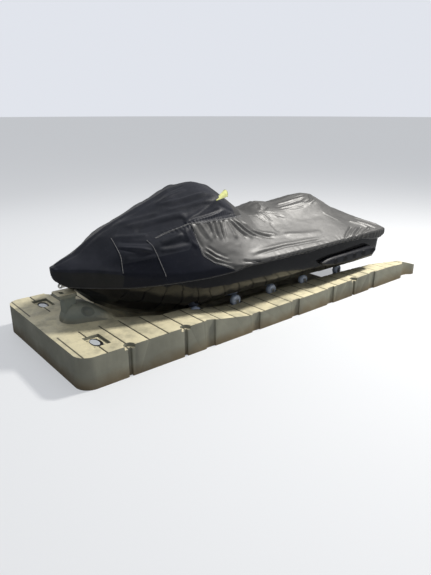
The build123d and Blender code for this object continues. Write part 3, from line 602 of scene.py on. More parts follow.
# From the bow aft, in millimetres: x, rail y and z, ridge y and z, shoulder y and z, crown z,
# and how far the skirt hangs down and is tucked in
COVER_STATIONS = table("""
1888 8 788 20 804 10 806 809 40 8
1850 33 786 45 808 26 820 832 92 28
1800 82 782 85 812 50 834 856 118 45
1710 160 783 150 822 90 852 890 130 56
1600 245 775 225 830 120 895 962 125 48
1420 350 743 318 905 180 982 1056 95 20
1180 455 716 415 965 225 1050 1152 60 6
960 520 706 435 1040 265 1125 1234 46 2
860 540 705 425 1072 285 1152 1277 44 2
600 578 705 385 1080 330 1240 1319 32 4
430 593 706 340 1050 300 1140 1276 16 10
300 597.6 706 331 990 254 1084 1192 16 10
190 601.6 706 323 939 214 1037 1083 15 10
110 603 706 318 915 197 998 1013 15 10
40 603 706 314 909 192 986 1010 15 10
-60 603 706 309 905 186 990 1045 15 10
-160 603 706 307 902 186 994 1072 15 10
-260 603 706 304 899 188 990 1056 15 10
-370 603 706 301 897 190 985 1034 15 10
-480 601.4 705.6 298 897 190 992 1042 15 10
-640 598.2 704.8 294 901 190 1006 1066 15 10
-800 595 704 290 905 190 1022 1082 16 10
-960 588 704 300 880 195 972 1054 22 10
-1134 578 702 320 828 210 893 950 38 10
-1405 558 695 400 765 270 786 828 70 10
-1460 548 693 420 750 280 770 806 68 10
-1545 528 690 440 728 300 741 778 48 10
""")
EDGE_OUT = 27.3 * MM
RAIL_TOP = 15.3 * MM
LIP_DROP = 11 * MM
# Rings of the cover: their distance, the rounding at the stem and at the top of the stern wall,
# and how many rings turn round the stem, turn down at the stern and lie on the stern wall
RING_STEP = 8.5 * MM
STEM_ROUNDING, STERN_ROUNDING = 0.030, 0.034
STEM_RINGS, TURN_RINGS, WALL_RINGS = 7, 6, 8
# A ring from the hem to the crown: samples on each stretch, and how widely the cloth rounds its end
RING_SPANS = [(7, 0.006), (5, 0.010), (44, 0.030), (24, 0.045), (34, 0.085)]
HEM_ROUNDING = 0.004


def smooth_through(xs, ys, at):
    """A curve through points that never overshoots them. The points come with falling x."""
    xs, ys = xs[::-1], ys[::-1]
    gaps, rise = np.diff(xs), np.diff(ys) / np.diff(xs)
    slope = np.zeros_like(ys)
    for k in range(1, len(xs) - 1):
        if rise[k - 1] * rise[k] > 0:
            w0, w1 = 2 * gaps[k] + gaps[k - 1], gaps[k] + 2 * gaps[k - 1]
            slope[k] = (w0 + w1) / (w0 / rise[k - 1] + w1 / rise[k])
    slope[0], slope[-1] = rise[0], rise[-1]
    at = np.clip(at, xs[0], xs[-1])
    k = np.clip(np.searchsorted(xs, at) - 1, 0, len(xs) - 2)
    t, gap = (at - xs[k]) / gaps[k], gaps[k]
    return ((2 * t**3 - 3 * t**2 + 1) * ys[k] + (t**3 - 2 * t**2 + t) * gap * slope[k]
            + (-2 * t**3 + 3 * t**2) * ys[k + 1] + (t**3 - t**2) * gap * slope[k + 1])


def ring_outline(x):
    """Corner points of the cover at x, from the port hem up to the crown."""
    rail_y, rail_z, ridge_y, ridge_z, shoulder_y, shoulder_z, crown_z, skirt, tuck = (
        float(smooth_through(COVER_STATIONS[:, 0], column, x)) for column in COVER_STATIONS.T[1:])
    edge = rail_y + EDGE_OUT
    return [(edge - tuck, rail_z - skirt), (edge, rail_z - LIP_DROP), (edge, rail_z + RAIL_TOP),
            (ridge_y, ridge_z), (shoulder_y, shoulder_z), (0.0, crown_z)]


def rounded_ring(x):
    """Points of the whole ring from the port hem over the crown to the starboard hem.

    Each point is the mean of a stretch of the cornered outline, which rounds its corners.
    """
    half = np.array(ring_outline(x))
    full = np.vstack([half, (half[:-1] * (-1, 1))[::-1]])
    lengths = np.hypot(*np.diff(full, axis=0).T)
    at_corner = np.concatenate([[0], np.cumsum(lengths)])
    fine = np.linspace(0, at_corner[-1], 1600)
    line = np.column_stack([np.interp(fine, at_corner, full[:, k]) for k in (0, 1)])
    area = np.vstack([[0, 0], np.cumsum((line[1:] + line[:-1]) / 2 * fine[1], axis=0)])
    wanted, radius, before = [], [], HEM_ROUNDING
    for k, (count, rounding) in enumerate(RING_SPANS):
        share = np.arange(count) / count
        wanted += list(at_corner[k] + share * lengths[k])
        radius += list(before + share * (rounding - before))
        before = rounding
    middle = at_corner[len(RING_SPANS)]
    wanted = np.array(wanted + [middle] + [2 * middle - place for place in wanted[::-1]])
    radius = np.array(radius + [before] + radius[::-1])
    radius = np.minimum(radius, 0.225 * middle)
    radius = np.minimum(radius, np.minimum(wanted, at_corner[-1] - wanted) + 1e-5)
    low, high = np.maximum(wanted - radius, 0), np.minimum(wanted + radius, at_corner[-1])
    total = [np.interp(high, fine, area[:, k]) - np.interp(low, fine, area[:, k]) for k in (0, 1)]
    return np.column_stack(total) / (high - low)[:, None]


def placed(x, across, height):
    """A ring's points. x is one number or one for each point."""
    return np.column_stack([np.broadcast_to(x, across.shape), across, height])


def cover_grid():
    """Points of the cover, ring by ring from the stem to the foot of the stern wall."""
    start = COVER_STATIONS[0, 0] - STEM_ROUNDING
    stop = COVER_STATIONS[-1, 0] + STERN_ROUNDING
    across = rounded_ring(start)[:, 0]
    rings = []
    for angle in np.arange(STEM_RINGS) / STEM_RINGS * pi / 2:
        x = start + STEM_ROUNDING * cos(angle)
        rings.append(placed(x, across * sin(angle), rounded_ring(x)[:, 1]))
    for x in np.linspace(start, stop, int((start - stop) / RING_STEP) + 1):
        rings.append(placed(x, *rounded_ring(x).T))
    foot = ring_outline(stop)[0][1]
    _, across, height = rings[-1].T
    for angle in np.arange(1, TURN_RINGS + 1) / TURN_RINGS * pi / 2:
        round_in = 1 - cos(angle)
        fall = np.minimum(STERN_ROUNDING * round_in, height - foot)
        rings.append(placed(stop - STERN_ROUNDING * sin(angle), across * (1 - 0.028 * round_in),
                            height - fall))
    x, across, height = rings[-1].T
    for share in np.arange(1, WALL_RINGS + 1) / WALL_RINGS:
        rings.append(placed(x + 0.010 * share**2, across, height - (height - foot) * share))
    return np.array(rings)


def grid_normals(grid):
    """Outward normals of a grid of points."""
    normal = np.cross(np.gradient(grid, axis=0), np.gradient(grid, axis=1))
    normal /= np.maximum(np.linalg.norm(normal, axis=2, keepdims=True), 1e-9)
    outwards = ((grid - grid.mean(axis=1, keepdims=True)) * normal).sum() > 0
    return normal if outwards else -normal


# Folds on the port side, in millimetres: x, y and z of three points, then the width at the start
# and at the end, and the height at the start and at the end. A negative height is a furrow.
FOLDS = table("""
# crease and slack between the two piped seams
1490 240 975  1370 330 935  1250 400 905  13 9 9 9
1480 260 950  1370 350 910  1270 410 885  12 9 -6 -7
1450 140 1000  1330 240 1000  1220 300 1000  22 16 5 8
1440 200 970  1340 290 955  1240 360 950  14 12 -5 -8
1460 320 860  1340 390 860  1220 420 870  18 16 4 6
# overhang of the hood above the gathered seam
1300 200 1020  1100 290 1055  920 370 1100  26 34 -10 -24
1340 120 1050  1120 220 1090  880 340 1140  30 36 8 17
1360 50 1060  1200 110 1090  1030 180 1125  24 22 5 6
# long folds of the hood
1020 90 1170  850 170 1200  600 270 1250  16 22 8 10
1000 140 1150  840 220 1180  600 310 1220  14 18 -6 -8
1000 190 1130  820 280 1170  580 340 1200  15 18 7 9
1030 80 1180  880 90 1230  720 110 1270  16 16 7 8
980 50 1210  860 40 1260  700 50 1300  14 14 -4 -6
960 370 1060  800 370 1130  620 350 1190  14 18 8 8
920 380 1080  740 390 1110  560 370 1130  12 16 -6 -8
900 400 1080  700 400 1100  480 360 1120  11 13 7 9
600 360 1170  500 330 1120  380 310 1070  16 16 -7 -5
# slack of the side in front of the rear seam
1200 400 960  1100 420 980  1000 430 1000  16 18 6 8
1210 410 930  1100 440 940  970 460 950  14 16 -5 -7
1210 420 905  1100 460 910  950 480 920  14 14 6 6
990 430 1030  960 470 950  900 500 890  20 14 8 6
1140 360 1020  1050 400 1010  970 430 1000  12 14 -5 -6
# fan of folds below the gathered seam
930 420 1060  900 470 960  860 500 870  9 12 -8 -5
880 420 1070  850 450 990  800 480 920  8 14 -9 -2
840 420 1070  800 450 990  760 480 910  8 13 9 4
760 420 1060  750 430 1010  740 450 960  9 12 -11 -4
725 410 1060  725 440 1000  720 470 930  9 12 9 4
690 400 1060  700 430 1000  700 470 930  8 12 -11 -5
660 400 1060  670 440 980  670 480 910  8 12 10 5
630 410 1050  640 450 960  640 490 900  8 12 -12 -6
600 400 1050  620 450 970  630 490 900  8 12 8 5
570 390 1050  600 440 980  620 490 900  9 13 -12 -5
535 385 1050  520 440 960  500 480 890  13 18 12 8
500 380 1040  440 430 940  370 480 880  10 14 -16 -10
475 370 1040  390 430 930  300 470 870  11 16 12 10
450 360 1030  340 420 920  220 460 860  10 14 -16 -12
410 355 1020  300 415 920  140 455 850  12 16 12 11
360 350 1000  260 410 910  50 450 830  10 13 -16 -16
320 330 990  200 390 900  -40 440 840  15 22 14 12
-100 440 830  -320 480 810  -600 490 790  26 34 11 5
# folds that run aft from the rear seam's foot
830 490 890  760 520 830  660 560 770  9 13 -9 -5
845 500 880  765 530 815  650 575 755  8 12 8 6
850 510 870  770 540 800  640 590 740  9 12 -10 -8
860 515 855  775 545 785  630 595 725  8 12 9 7
870 520 840  780 550 770  620 600 710  9 11 -9 -8
540 600 740  450 620 720  340 620 700  9 9 -10 -10
600 605 715  480 625 700  360 625 690  9 8 7 4
400 590 760  20 560 760  -520 580 750  9 10 -8 -7
420 575 785  20 545 785  -520 565 775  16 18 6 5
# short slack folds beside the seat
30 160 990  -20 240 950  -30 280 920  8 12 -11 -6
-20 160 1000  -70 220 965  -80 280 920  8 11 8 5
-60 150 1000  -160 210 980  -290 240 950  7 10 -10 -5
-80 180 990  -120 230 960  -120 280 920  7 11 -9 -5
-100 170 995  -170 220 970  -220 260 930  8 10 8 4
-130 190 990  -220 230 960  -310 260 930  7 10 -8 -4
-160 40 1060  -150 100 1030  -100 140 1010  17 15 9 5
-210 50 1050  -200 120 1020  -140 150 1000  9 9 -12 -10
-80 290 920  -80 340 880  -80 410 850  14 20 -7 -3
# passenger's end of the seat
-390 30 1030  -600 50 1050  -810 60 1060  9 9 -7 -9
-360 80 1020  -560 85 1030  -770 90 1045  9 9 8 8
-320 130 1010  -530 120 1010  -720 120 1030  9 9 -7 -8
-340 150 1000  -520 160 1000  -690 165 1010  9 9 7 7
-370 170 990  -510 200 980  -660 210 990  10 10 -6 -6
-860 40 1050  -770 150 1030  -680 170 1020  8 8 -11 -9
-900 50 1045  -820 170 1010  -720 200 1000  11 11 8 7
-860 100 1050  -960 120 1000  -1020 160 950  12 14 6 4
-830 280 920  -900 330 870  -970 400 830  14 16 6 4
# stern quarter
-1050 490 780  -890 560 750  -770 620 710  12 10 -12 -12
-1140 500 760  -940 580 740  -860 620 710  12 10 11 10
-1200 500 755  -1000 585 735  -930 620 700  10 10 -11 -11
-1370 510 740  -1140 580 730  -1040 610 690  12 10 -12 -12
-1120 380 800  -1240 460 755  -1300 560 710  18 13 12 10
-1240 400 780  -1340 480 740  -1380 560 700  15 12 -12 -12
-1300 300 800  -1440 420 750  -1520 500 710  20 16 10 9
-1380 220 800  -1480 300 760  -1540 340 720  16 14 -6 -7
-1200 100 920  -1360 180 840  -1500 220 780  24 20 6 7
""")
# A fold acts on cloth this near to its line, and fades over this share of it at each end
FOLD_REACH, FOLD_FADE = 0.12, 0.14
# Starboard repeats port's folds, shifted along X by a wave, wider and lower
SHIFT, SHIFT_TURNS, WIDER, LOWER = 0.02, 40, 1.1, 0.85
# The gathered seam on the port side, its gathers, the pleats along the hem, and how high the
# cloth's slack stands: all over, and less where it is taut and at the bow
GATHERED_SEAM = [(1.20, 0.34, 0.99), (1.05, 0.38, 1.03), (0.92, 0.42, 1.07), (0.69, 0.40, 1.075),
                 (0.34, 0.30, 1.06)]
GATHER_PITCH, GATHER_HEIGHT = 31 * MM, 2.8 * MM
PLEAT_PITCH, PLEAT_HEIGHT = 72 * MM, 3.4 * MM
SLACK_HEIGHT, SLACK_LOST = 3.4 * MM, 1.8 * MM
# Outline of each shade's area as x, z from the side
OUTLINES = {
    "rear_area": [(0.600, 0.55), (0.620, 0.680), (0.657, 0.705), (0.795, 0.765), (0.880, 0.830),
                  (0.920, 1.068), (0.600, 1.052), (0.275, 1.024), (0.270, 1.60), (-2.0, 1.60),
                  (-2.0, 0.55)],
    # The taut lower side panel: less slack on it, and painted shade with a painted sky reflection
    # in its colour
    "taut_shade_area": [(1.490, 0.60), (1.490, 0.825), (1.235, 0.862), (0.985, 0.885), (0.950, 0.925),
                  (0.975, 1.020), (0.945, 1.075), (0.880, 1.080), (0.840, 0.800), (0.560, 0.650),
                  (0.560, 0.60)],
    "vent_area": [(0.600, 1.215), (0.470, 1.225), (0.405, 1.200), (0.385, 1.090), (0.480, 1.100)],
    "hood_back": [(0.425, 1.330), (0.405, 1.200), (0.385, 1.090), (0.375, 1.000), (0.230, 1.000),
                  (0.230, 1.330)],
}
# The seam between front and middle panel: its x at a height, and how much it leans
FRONT_SEAM_X, FRONT_SEAM_Z, FRONT_SEAM_LEAN = 1.19, 0.67, 0.2


def smooth_step(value, low, high):
    """From 0 at low to 1 at high, level at both ends."""
    t = np.clip((value - low) / (high - low), 0, 1)
    return t * t * (3 - 2 * t)


def fold_lift(grid, normal, path, widths, heights, side):
    """How far one fold moves each point outwards. Widths and heights are at its two ends."""
    path = np.array(path) * (1, side, 1)
    sizes = np.linalg.norm(np.diff(path, axis=0), axis=1)
    best, share, before = np.full(grid.shape[:2], 1e9), np.zeros(grid.shape[:2]), 0.0
    for start, end, size in zip(path, path[1:], sizes):
        ahead = (end - start) / size
        away = grid - start
        walked = np.clip(away @ ahead, 0, size)
        away = away - walked[..., None] * ahead
        out = (away * normal).sum(axis=2)
        gap = np.sqrt(np.maximum((away**2).sum(axis=2) - out**2, 0))
        gap = np.where(np.abs(out) > FOLD_REACH, 1e9, gap)
        closer = gap < best
        best = np.where(closer, gap, best)
        share = np.where(closer, (before + walked) / sizes.sum(), share)
        before += size
    width, height = (first + share * (last - first) for first, last in (widths, heights))
    ends = smooth_step(np.minimum(share, 1 - share), 0, FOLD_FADE) * 0.85 + 0.15
    return height * ends * np.exp(-((best / width) ** 2) * 0.9)


def area_depth(x, z, outline):
    """Distance inside a closed outline, negative outside it."""
    best = np.full(x.shape, 1e9)
    crossings = np.zeros(x.shape, bool)
    for (x0, z0), (x1, z1) in zip(outline, outline[1:] + outline[:1]):
        dx, dz = x1 - x0, z1 - z0
        t = np.clip(((x - x0) * dx + (z - z0) * dz) / (dx * dx + dz * dz), 0, 1)
        best = np.minimum(best, np.hypot(x - x0 - t * dx, z - z0 - t * dz))
        if z0 != z1:
            crossings ^= ((z0 > z) != (z1 > z)) & (x < dx * (z - z0) / dz + x0)
    return np.where(crossings, best, -best)


def shape_cover():
    """The cover's points with all folds, gathers and slack, and its shade areas."""
    base = cover_grid()
    normal = grid_normals(base)
    x, z = base[..., 0], base[..., 2]
    columns = np.arange(x.shape[1])
    from_hem = np.minimum(columns, columns[::-1])
    lift = np.zeros_like(x)
    for row in FOLDS:
        path, widths, heights = row[:9].reshape(3, 3), row[9:11], row[11:]
        lift += fold_lift(base, normal, path, widths, heights, 1)
        shifted = path + [(SHIFT * sin(SHIFT_TURNS * start), 0, 0) for start in path[:, 0]]
        lift += fold_lift(base, normal, shifted, widths * WIDER, heights * LOWER, -1)
    slack = np.array([[noise.fractal(Vector(point), 0.9, 2.1, 4) for point in ring]
                      for ring in base * (3.1, 5.2, 6.5)])
    taut = smooth_step(area_depth(x, z, OUTLINES["taut_shade_area"]), -0.02, 0.03)
    lift += slack * (SLACK_HEIGHT - SLACK_LOST * taut - SLACK_LOST * smooth_step(x, 1.46, 1.56))
    # Pleats along the rear hem, each with its own height, out of step from port to starboard
    rail_z = smooth_through(COVER_STATIONS[:, 0], COVER_STATIONS[:, 2], x)
    rear = area_depth(x, z, OUTLINES["rear_area"])
    near_hem = np.exp(-(np.maximum(z - rail_z + 0.01, 0) / 0.035) ** 2)
    flutter = np.array([[noise.fractal(Vector((crown * 9, 3.7, 1.2)), 0.8, 2, 3)]
                        for crown in x[:, x.shape[1] // 2]])
    phase = np.where(columns <= columns[::-1], 1, -1)
    waves = np.sin(x * 2 * pi / PLEAT_PITCH + 2.5 * np.sin(x * 9) + phase)
    pleats = waves * (0.55 + 0.8 * flutter) * PLEAT_HEIGHT
    lift += near_hem * pleats * smooth_step(rear, -0.04, 0.06) * (z < 0.80)
    for side in SIDES.values():
        band = fold_lift(base, normal, GATHERED_SEAM, (26 * MM, 26 * MM), (1, 1), side)
        lift += band * np.sin(x * 2 * pi / GATHER_PITCH) * GATHER_HEIGHT
        lift -= fold_lift(base, normal, GATHERED_SEAM, (7 * MM, 7 * MM), (3 * MM, 3 * MM), side)
    lift *= 1 - 0.8 * smooth_step(x, 1.80, 1.87)
    grid = base + normal * lift[..., None]
    fall = (from_hem < 7) * (1 - from_hem / 7) * smooth_step(rear, -0.02, 0.05)
    grid[..., 2] += fall * flutter * 0.006
    areas = {name: area_depth(grid[..., 0], grid[..., 2], outline)
             for name, outline in OUTLINES.items()}
    areas["skirt_area"] = np.minimum(rail_z - 0.004 - z, 0.4 * (x - 1.478))
    # Painted shade on the stern's skirt below the rail
    areas["stern_skirt_shade"] = np.minimum(rail_z - 0.002 - z, 0.2 * (-0.95 - x))
    return clear_of(grid, "deck", 2 * MM), areas


def clear_of(grid, node, gap):
    """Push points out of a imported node, so that nothing pokes through the cloth."""
    mesh = NODES[node].data
    tree = BVHTree.FromPolygons([v.co for v in mesh.vertices], [p.vertices for p in mesh.polygons])
    for point in grid.reshape(-1, 3):
        near, face_normal, _, _ = tree.find_nearest(Vector(point), 0.06)
        if near is not None:
            depth = (Vector(point) - near).dot(face_normal)
            point += np.array(face_normal) * max(gap - depth, 0)
    return grid


def build_cover():
    """The cover's three panels, each a sheet that stands for its packed shell."""
    grid, areas = shape_cover()
    index = np.arange(grid[..., 0].size).reshape(grid.shape[:2])
    quads = np.stack([index[:-1, :-1], index[:-1, 1:], index[1:, 1:], index[1:, :-1]], axis=2)
    seam_x = FRONT_SEAM_X + FRONT_SEAM_LEAN * (grid[..., 2] - FRONT_SEAM_Z)
    panel = np.where(grid[..., 0] > seam_x, 0, np.where(areas["rear_area"] > 0, 2, 1))[:-1, :-1]
    pieces = []
    for number, node in enumerate(("cover_front", "cover_middle", "cover_rear")):
        own = quads[panel == number]
        used, faces = np.unique(own, return_inverse=True)
        faces = faces.reshape(own.shape)
        verts = grid.reshape(-1, 3)[used]
        piece = new_piece(node + "_cloth", verts, faces.tolist(), "cover_cloth")
        for name, values in areas.items():
            layer = piece.data.attributes.new(name, "FLOAT", "POINT")
            layer.data.foreach_set("value", values.reshape(-1)[used].astype(np.float32))
        with editing(piece.data) as bm:
            bmesh.ops.remove_doubles(bm, verts=bm.verts, dist=0.2 * MM)
        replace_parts(piece, node)
        pieces.append(piece)
    return grid, pieces


# Seams, piping, hem

PATH_STEP = 6 * MM
# Seams on the side as x, z: round the front of the rear panel, the gathered one, the piped ones
REAR_SEAM = [(0.628, 0.690), (0.657, 0.705), (0.795, 0.765), (0.880, 0.830), (0.918, 1.060)]
UPPER_SEAM = [(1.200, 0.985), (1.050, 1.030), (0.920, 1.066), (0.600, 1.052), (0.275, 1.024)]
PIPED_SEAMS = [[(1.452, 0.985), (1.462, 0.930), (1.490, 0.735)],
               [(1.260, 0.975), (1.232, 0.862), (1.190, 0.680)]]
# The seam over the top: its x, and how far it goes to each side
TOP_SEAM_X, TOP_SEAM_REACH = 0.272, 0.25
# Cross-sections, as the offset sideways and outwards
TAPE_PROFILE = [(-0.0075, -0.001), (-0.006, 0.0012), (-0.002, 0.0022), (0.002, 0.0022),
                (0.006, 0.0012), (0.0075, -0.001)]
PIPING_PROFILE = [(0.0021 * cos(a), 0.0006 + 0.0021 * sin(a))
                  for a in np.linspace(-0.5, pi + 0.5, 8)]
RIM_PROFILE = [(0.0022 * cos(a), 0.0022 * sin(a)) for a in np.linspace(0, 2 * pi, 7)]
STITCH_LENGTH, STITCH_GAP, STITCH_WIDTH, STITCH_HEIGHT = 4.5 * MM, 3.5 * MM, 1.2 * MM, 0.9 * MM
STITCH_LIFT, STITCH_OFFSET = 1.4 * MM, 4.5 * MM
HEM_SIDES, HEM_HALF_WIDTH, HEM_HALF_HEIGHT = 10, 4.5 * MM, 6.2 * MM


def surface_of(pieces):
    """A search tree over several pieces."""
    every = Parts()
    for piece in pieces:
        every.add([v.co.copy() for v in piece.data.vertices],
                  [p.vertices for p in piece.data.polygons])
    return BVHTree.FromPolygons(every.verts, every.faces)


def smooth_path(points, rounds=2):
    """Even out a path."""
    for _ in range(rounds):
        inner = [(before + point * 2 + after) / 4
                 for before, point, after in zip(points, points[1:], points[2:])]
        points = [points[0], *inner, points[-1]]
    return points


def cast_path(tree, starts, direction):
    """The path on the cover that rays from the starts meet, and its normals."""
    path, normals = [], []
    for start in starts:
        hit, normal, _, _ = tree.ray_cast(start, direction)
        if hit is not None:
            outwards = normal.dot(direction) < 0 or normal.z > 0
            path.append(hit)
            normals.append(normal if outwards else -normal)
    return smooth_path(path), smooth_path(normals)


def on_side(tree, points, side):
    """A path on the cover's side through points given as x, z."""
    starts = []
    for (x0, z0), (x1, z1) in zip(points, points[1:]):
        count = max(2, int(dist((x0, z0), (x1, z1)) / PATH_STEP))
        starts += [Vector((x0 + (x1 - x0) * k / count, side * 1.2, z0 + (z1 - z0) * k / count))
                   for k in range(count)]
    return cast_path(tree, starts, Vector((0, -side, 0)))


def over_top(tree, x, reach):
    """A path over the cover from port to starboard."""
    count = int(2 * reach / PATH_STEP)
    starts = [Vector((x, reach - 2 * reach * k / count, 2)) for k in range(count + 1)]
    return cast_path(tree, starts, Vector((0, 0, -1)))


def build_seams(tree):
    """Taped seams round the rear panel with their stitches, and two short piped seams."""
    tape, piping, stitches = Parts(), Parts(), Parts()
    for side in SIDES.values():
        for points in (REAR_SEAM, UPPER_SEAM):
            path, normals = on_side(tree, points, side)
            tape.ribbon(path, normals, TAPE_PROFILE)
            for offset in (-STITCH_OFFSET, STITCH_OFFSET):
                stitches.stitches(path, normals, offset)
        for points in PIPED_SEAMS:
            piping.ribbon(*on_side(tree, points, side), PIPING_PROFILE)
    tape.ribbon(*over_top(tree, TOP_SEAM_X, TOP_SEAM_REACH), TAPE_PROFILE)
    tape.make("cover_seam_tape", "seam_tape", "cover_cloth_front")
    piping.make("cover_piping", "pale_piping", "cover_cloth_front")
    stitches.make("cover_stitches", "grey_thread", "cover_cloth_rear")


def build_hem(grid):
    """The elastic hem as a ruffled band along the cover's lower edge."""
    edge = [Vector(point) for point in (*grid[3:, 0], *grid[-1, 1:-1], *grid[3:, -1][::-1])]
    path = edge[:1]
    for point in edge:
        if (point - path[-1]).length > 3.5 * MM:
            path.append(point)
    spots = path[:1]
    for start, end in zip(path, path[1:] + path[:1]):
        count = max(1, int((end - start).length / PATH_STEP))
        spots += [start + (end - start) * k / count for k in range(1, count + 1)]
    path = smooth_path(spots[:-1], 3)
    up = Vector((0, 0, 1))
    rows = []
    for i, point in enumerate(path):
        out = (path[(i + 1) % len(path)] - path[i - 1]).cross(up).normalized()
        if out.dot(Vector((point.x * 0.2, point.y, 0))) < 0:
            out = -out
        ruffle = 1 + 0.22 * sin(i * 2 * pi / 2.6) + 0.15 * noise.noise(point * 60)
        centre = point - out * HEM_HALF_WIDTH - up * 5.5 * MM
        rows.append([centre + out * cos(turn) * HEM_HALF_WIDTH * ruffle
                     + up * sin(turn) * HEM_HALF_HEIGHT for turn in turns(HEM_SIDES)])
    band = Parts()
    band.net(rows, loop=True)
    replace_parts(band.make("elastic_hem", "elastic_band", "hem_band"), "cover_hem")


# Vent scoops

SCOOP_ROWS, SCOOP_COLUMNS, SCOOP_WALL = 16, 32, 3 * MM
# Port scoop: its mouth's and its nose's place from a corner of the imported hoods' box, how far the
# mouth leans aft for its height, and the netting's place from the mouth
MOUTH_SHIFT, NOSE_SHIFT = Vector((0.018, -0.021, 0.018)), Vector((0.082, 0.094, 0.018))
SCOOP_LEAN = 0.14
NETTING_SHIFT = Vector((0.032, 0.016, 0.020))
NETTING_PROFILE = [(0, 0.016), (0.003, 0.016), (0.004, 0.013)]


def scoop_section(share, inset):
    """Points round the scoop, flat below and arched above. Share goes from nose to mouth."""
    width = 0.010 + 0.028 * share ** 0.8 - inset
    rise = 0.005 + 0.047 * share ** 0.9 - 2 * inset
    points = []
    for turn in turns(SCOOP_COLUMNS):
        arch, dip = max(sin(turn), 0.0) ** 0.8, 0.004 * min(sin(turn), 0.0)
        pucker = 1 + 0.05 * sin(turn * 4 + 1) * (1 - share)
        points.append((width * cos(turn) * pucker, inset + rise * arch * pucker + dip))
    return points


def build_vents():
    """Lime scoops over the air vents: cloth wedges, open aft, with a bound rim and dark netting."""
    low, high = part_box("vent_hoods")
    mouth = Vector((low.x, high.y, low.z)) + MOUTH_SHIFT
    nose = Vector((high.x, high.y, low.z)) + NOSE_SHIFT
    scoop, rim, net = Parts(), Parts(), Parts()

    def wall(side, inset):
        """Rows of a scoop's outer or inner surface, from the nose to the mouth, which leans."""
        rows = []
        for share in np.arange(SCOOP_ROWS + 1) / SCOOP_ROWS:
            at = nose + (mouth - nose) * share
            rows.append([Vector((at.x - SCOOP_LEAN * share * z, side * (at.y + y), at.z + z))
                         for y, z in scoop_section(share, inset)])
        return rows

    for side in SIDES.values():
        outer = wall(side, 0.0)
        scoop.net(outer + wall(side, SCOOP_WALL)[::-1], loop=True, flip=True)
        edge = [point - Vector((1.5 * MM, 0, 0)) for point in outer[-1] + outer[-1][:1]]
        middle = sum(edge, Vector()) / len(edge)
        rim.ribbon(edge, [point - middle for point in edge], RIM_PROFILE)
        net.lathe((mouth + NETTING_SHIFT) * Vector((1, side, 1)), (-1, 0, 0), NETTING_PROFILE, 28)
    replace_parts(scoop.make("vent_scoops", "lime_cloth", "vent_cloth"), "vent_hoods")
    rim.make("vent_rims", "lime_binding", "vent_cloth")
    net.make("vent_netting", "dark_net", "cover_cloth_front")


# Fittings

# Cups on the stabilisers: their number, and the first one's place and the step to the next, as x, z
CUP_COUNT, CUP_FIRST, CUP_STEP = 5, (-0.66, 0.512), (-0.148, 0.002)
CUP_PROFILE = [(-0.004, 0.029), (0.0012, 0.029), (0.0032, 0.0270), (0.0032, 0.0245),
               (-0.001, 0.0230)]
# Painted shade: a near-black disc inside each cup's lip
WELL_SHADE_PROFILE = [(-0.003, 0.0230), (0.0004, 0.0230), (0.0008, 0.018), (0.0009, 0.004)]
# The gasket's inner oval, which lies off its centre: middle and half sizes. Then its section, as
# the share from the outer to the inner oval and the height
INNER_X, INNER_Y, INNER_HALF_X, INNER_HALF_Y = 0.007, -0.012, 0.031, 0.056
GASKET_PROFILE = [(0.0, 0.0004), (0.15, 0.0035), (0.5, 0.0052), (0.85, 0.0035), (1.0, 0.0004)]
# Plugs from the middle of a plate, bolts from the ride plate's ends and middle plane
PLUG_X, PLUG_Y = 0.035, 0.060
BOLT_FRONT, BOLT_BACK, BOLT_Y = 0.05, 0.08, 0.14
# Treads on the step's tube: the middle of the row, how deep their middle lies below the step's top
TREAD_COUNT, TREAD_PITCH, TREAD_Y, TREAD_DEPTH = 13, 0.008, -0.350, 0.011
TREAD_PROFILE = [(0, 0.0112), (0.0008, 0.0132), (0.0036, 0.0132), (0.0044, 0.0112)]
# Nuts from the middle of a wheel
NUT_OUT = 0.0335
NUT_PROFILE = [(0, 0.0135), (0.0022, 0.0135), (0.0026, 0.010), (0.0028, 0.004)]


def bolt(parts, place, axis, radius, height):
    """A domed bolt head on a washer."""
    profile = [(-0.001, radius * 1.5), (0.0014, radius * 1.5), (0.0018, radius * 1.05),
               (height * 0.7, radius), (height * 0.95, radius * 0.72), (height, radius * 0.3)]
    parts.lathe(place, axis, profile, 16)


def build_sponson_cups():
    """Round recesses with a raised lip along each stabiliser, each with a near-black disc for
    painted shade.
    """
    cups, well_shades = Parts(), Parts()
    for name, side in SIDES.items():
        low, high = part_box("sponson_" + name)
        for number in range(CUP_COUNT):
            x, z = (first + number * step for first, step in zip(CUP_FIRST, CUP_STEP))
            place = (x, high.y if side > 0 else low.y, z)
            cups.lathe(place, (0, side, 0), CUP_PROFILE, 28)
            well_shades.lathe(place, (0, side, 0), WELL_SHADE_PROFILE, 24)
    cups.make("sponson_cups", "sponson_plastic", "sponson_plastic")
    well_shades.make("sponson_well_shades", "recess_black", "sponson_plastic")


def build_front_fittings():
    """Plugs on the corners of the front plates, and a crescent gasket round each oval opening."""
    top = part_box("front_brackets")[1].z
    plugs, gaskets = Parts(), Parts()
    for side in SIDES.values():
        for dx in (-PLUG_X, PLUG_X):
            for dy in (-PLUG_Y, PLUG_Y):
                bolt(plugs, (PLATE_X + dx, side * PLATE_Y + dy, top), (0, 0, 1), 0.007, 0.005)
        rows = []
        for turn in turns(48):
            outer = Vector((OVAL_X * cos(turn), OVAL_Y * sin(turn)))
            inner = Vector((INNER_X + INNER_HALF_X * cos(turn), INNER_Y + INNER_HALF_Y * sin(turn)))
            spots = [(outer.lerp(inner, share), lift) for share, lift in GASKET_PROFILE]
            rows.append([(PLATE_X + at.x, side * (PLATE_Y + at.y), top + lift)
                         for at, lift in spots])
        gaskets.net(rows, ring=False, loop=True, flip=side < 0)
    plugs.make("plate_plugs", "float_plug", "bracket_metal")
    gaskets.make("plate_gaskets", "recess_black", "rub_rail")


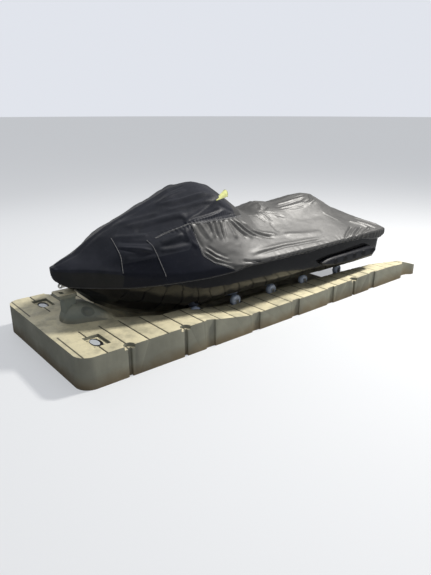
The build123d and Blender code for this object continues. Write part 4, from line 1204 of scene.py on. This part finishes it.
def build_stern_trim():
    """Bolts under the ride plate, and rubber treads on the boarding step."""
    bolts, treads = Parts(), Parts()
    low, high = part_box("ride_plate")
    for x in (high.x - BOLT_FRONT, (low.x + high.x) / 2, low.x + BOLT_BACK):
        for side in SIDES.values():
            bolt(bolts, (x, side * BOLT_Y, low.z), (0, 0, -1), 0.008, 0.006)
    bolts.make("drive_bolts", "stainless_steel", "eye_steel")
    low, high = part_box("boarding_step")
    for number in range(TREAD_COUNT):
        y = TREAD_Y + (number - TREAD_COUNT // 2) * TREAD_PITCH - TREAD_PROFILE[-1][0] / 2
        place = ((low.x + high.x) / 2, y, high.z - TREAD_DEPTH)
        treads.lathe(place, (0, 1, 0), TREAD_PROFILE)
    treads.make("step_treads", "black_rubber", "step_tube", "boarding_step")


def build_axle_nuts():
    """Nuts on the fork's ears at both ends of each axle."""
    nuts = Parts()
    for name in SIDES:
        for number in range(1, 6):
            low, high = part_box(f"hub_{name}_{number}")
            middle = (Vector(low) + Vector(high)) / 2
            for out in (1, -1):
                nuts.lathe(middle + Vector((0, out * NUT_OUT, 0)), (0, out, 0), NUT_PROFILE, 6)
    nuts.make("axle_nuts", "stainless_steel", "stainless_axle")


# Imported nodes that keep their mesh, by material
FINISHES = {
    "plate_metal": ["front_brackets"],
    "stainless_steel": ["wheel_axles", "bow_eye", "stern_eyes", "step_brackets"],
    "deck_plastic": ["deck", "drain_plugs"],
    "black_rubber": ["boarding_step"],
    "cast_aluminium": ["pump_housing", "ride_plate", "intake_grate", "steering_nozzle"],
    "impeller_steel": ["impeller"],
    "bucket_plastic": ["reverse_bucket"],
    "engine_paint": ["engine_block"],
    "hub_nylon": [name for name in NODES if name.startswith("hub_")],
    "wheel_polyurethane": [name for name in NODES if name.startswith("tyre_")],
}
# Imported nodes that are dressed: piece, material, the edges' rounding and its segments
DRESSED = {
    "port_float": ("float_moulding", "float_polyethylene", 0.006, 2),
    "hull": ("hull_shell", "black_gelcoat", 0.005, 2),
    "bumper": ("rub_rail_strip", "black_rubber", 0.002, 2),
    "sponson_port": ("sponson_port_moulding", "sponson_plastic", 0.008, 3),
    "sponson_starboard": ("sponson_starboard_moulding", "sponson_plastic", 0.008, 3),
}


def main():
    make_camera()
    make_floor()
    make_light()
    make_materials()
    for material, nodes in FINISHES.items():
        for node in nodes:
            paint(NODES[node].data, material)
    for node, dressing in DRESSED.items():
        dressed_copy(node, *dressing)
    grid, panels = build_cover()
    build_seams(surface_of(panels))
    build_hem(grid)
    build_vents()
    build_sponson_cups()
    build_front_fittings()
    build_stern_trim()
    build_axle_nuts()


main()
bpy.context.scene.view_settings.view_transform = "Standard"
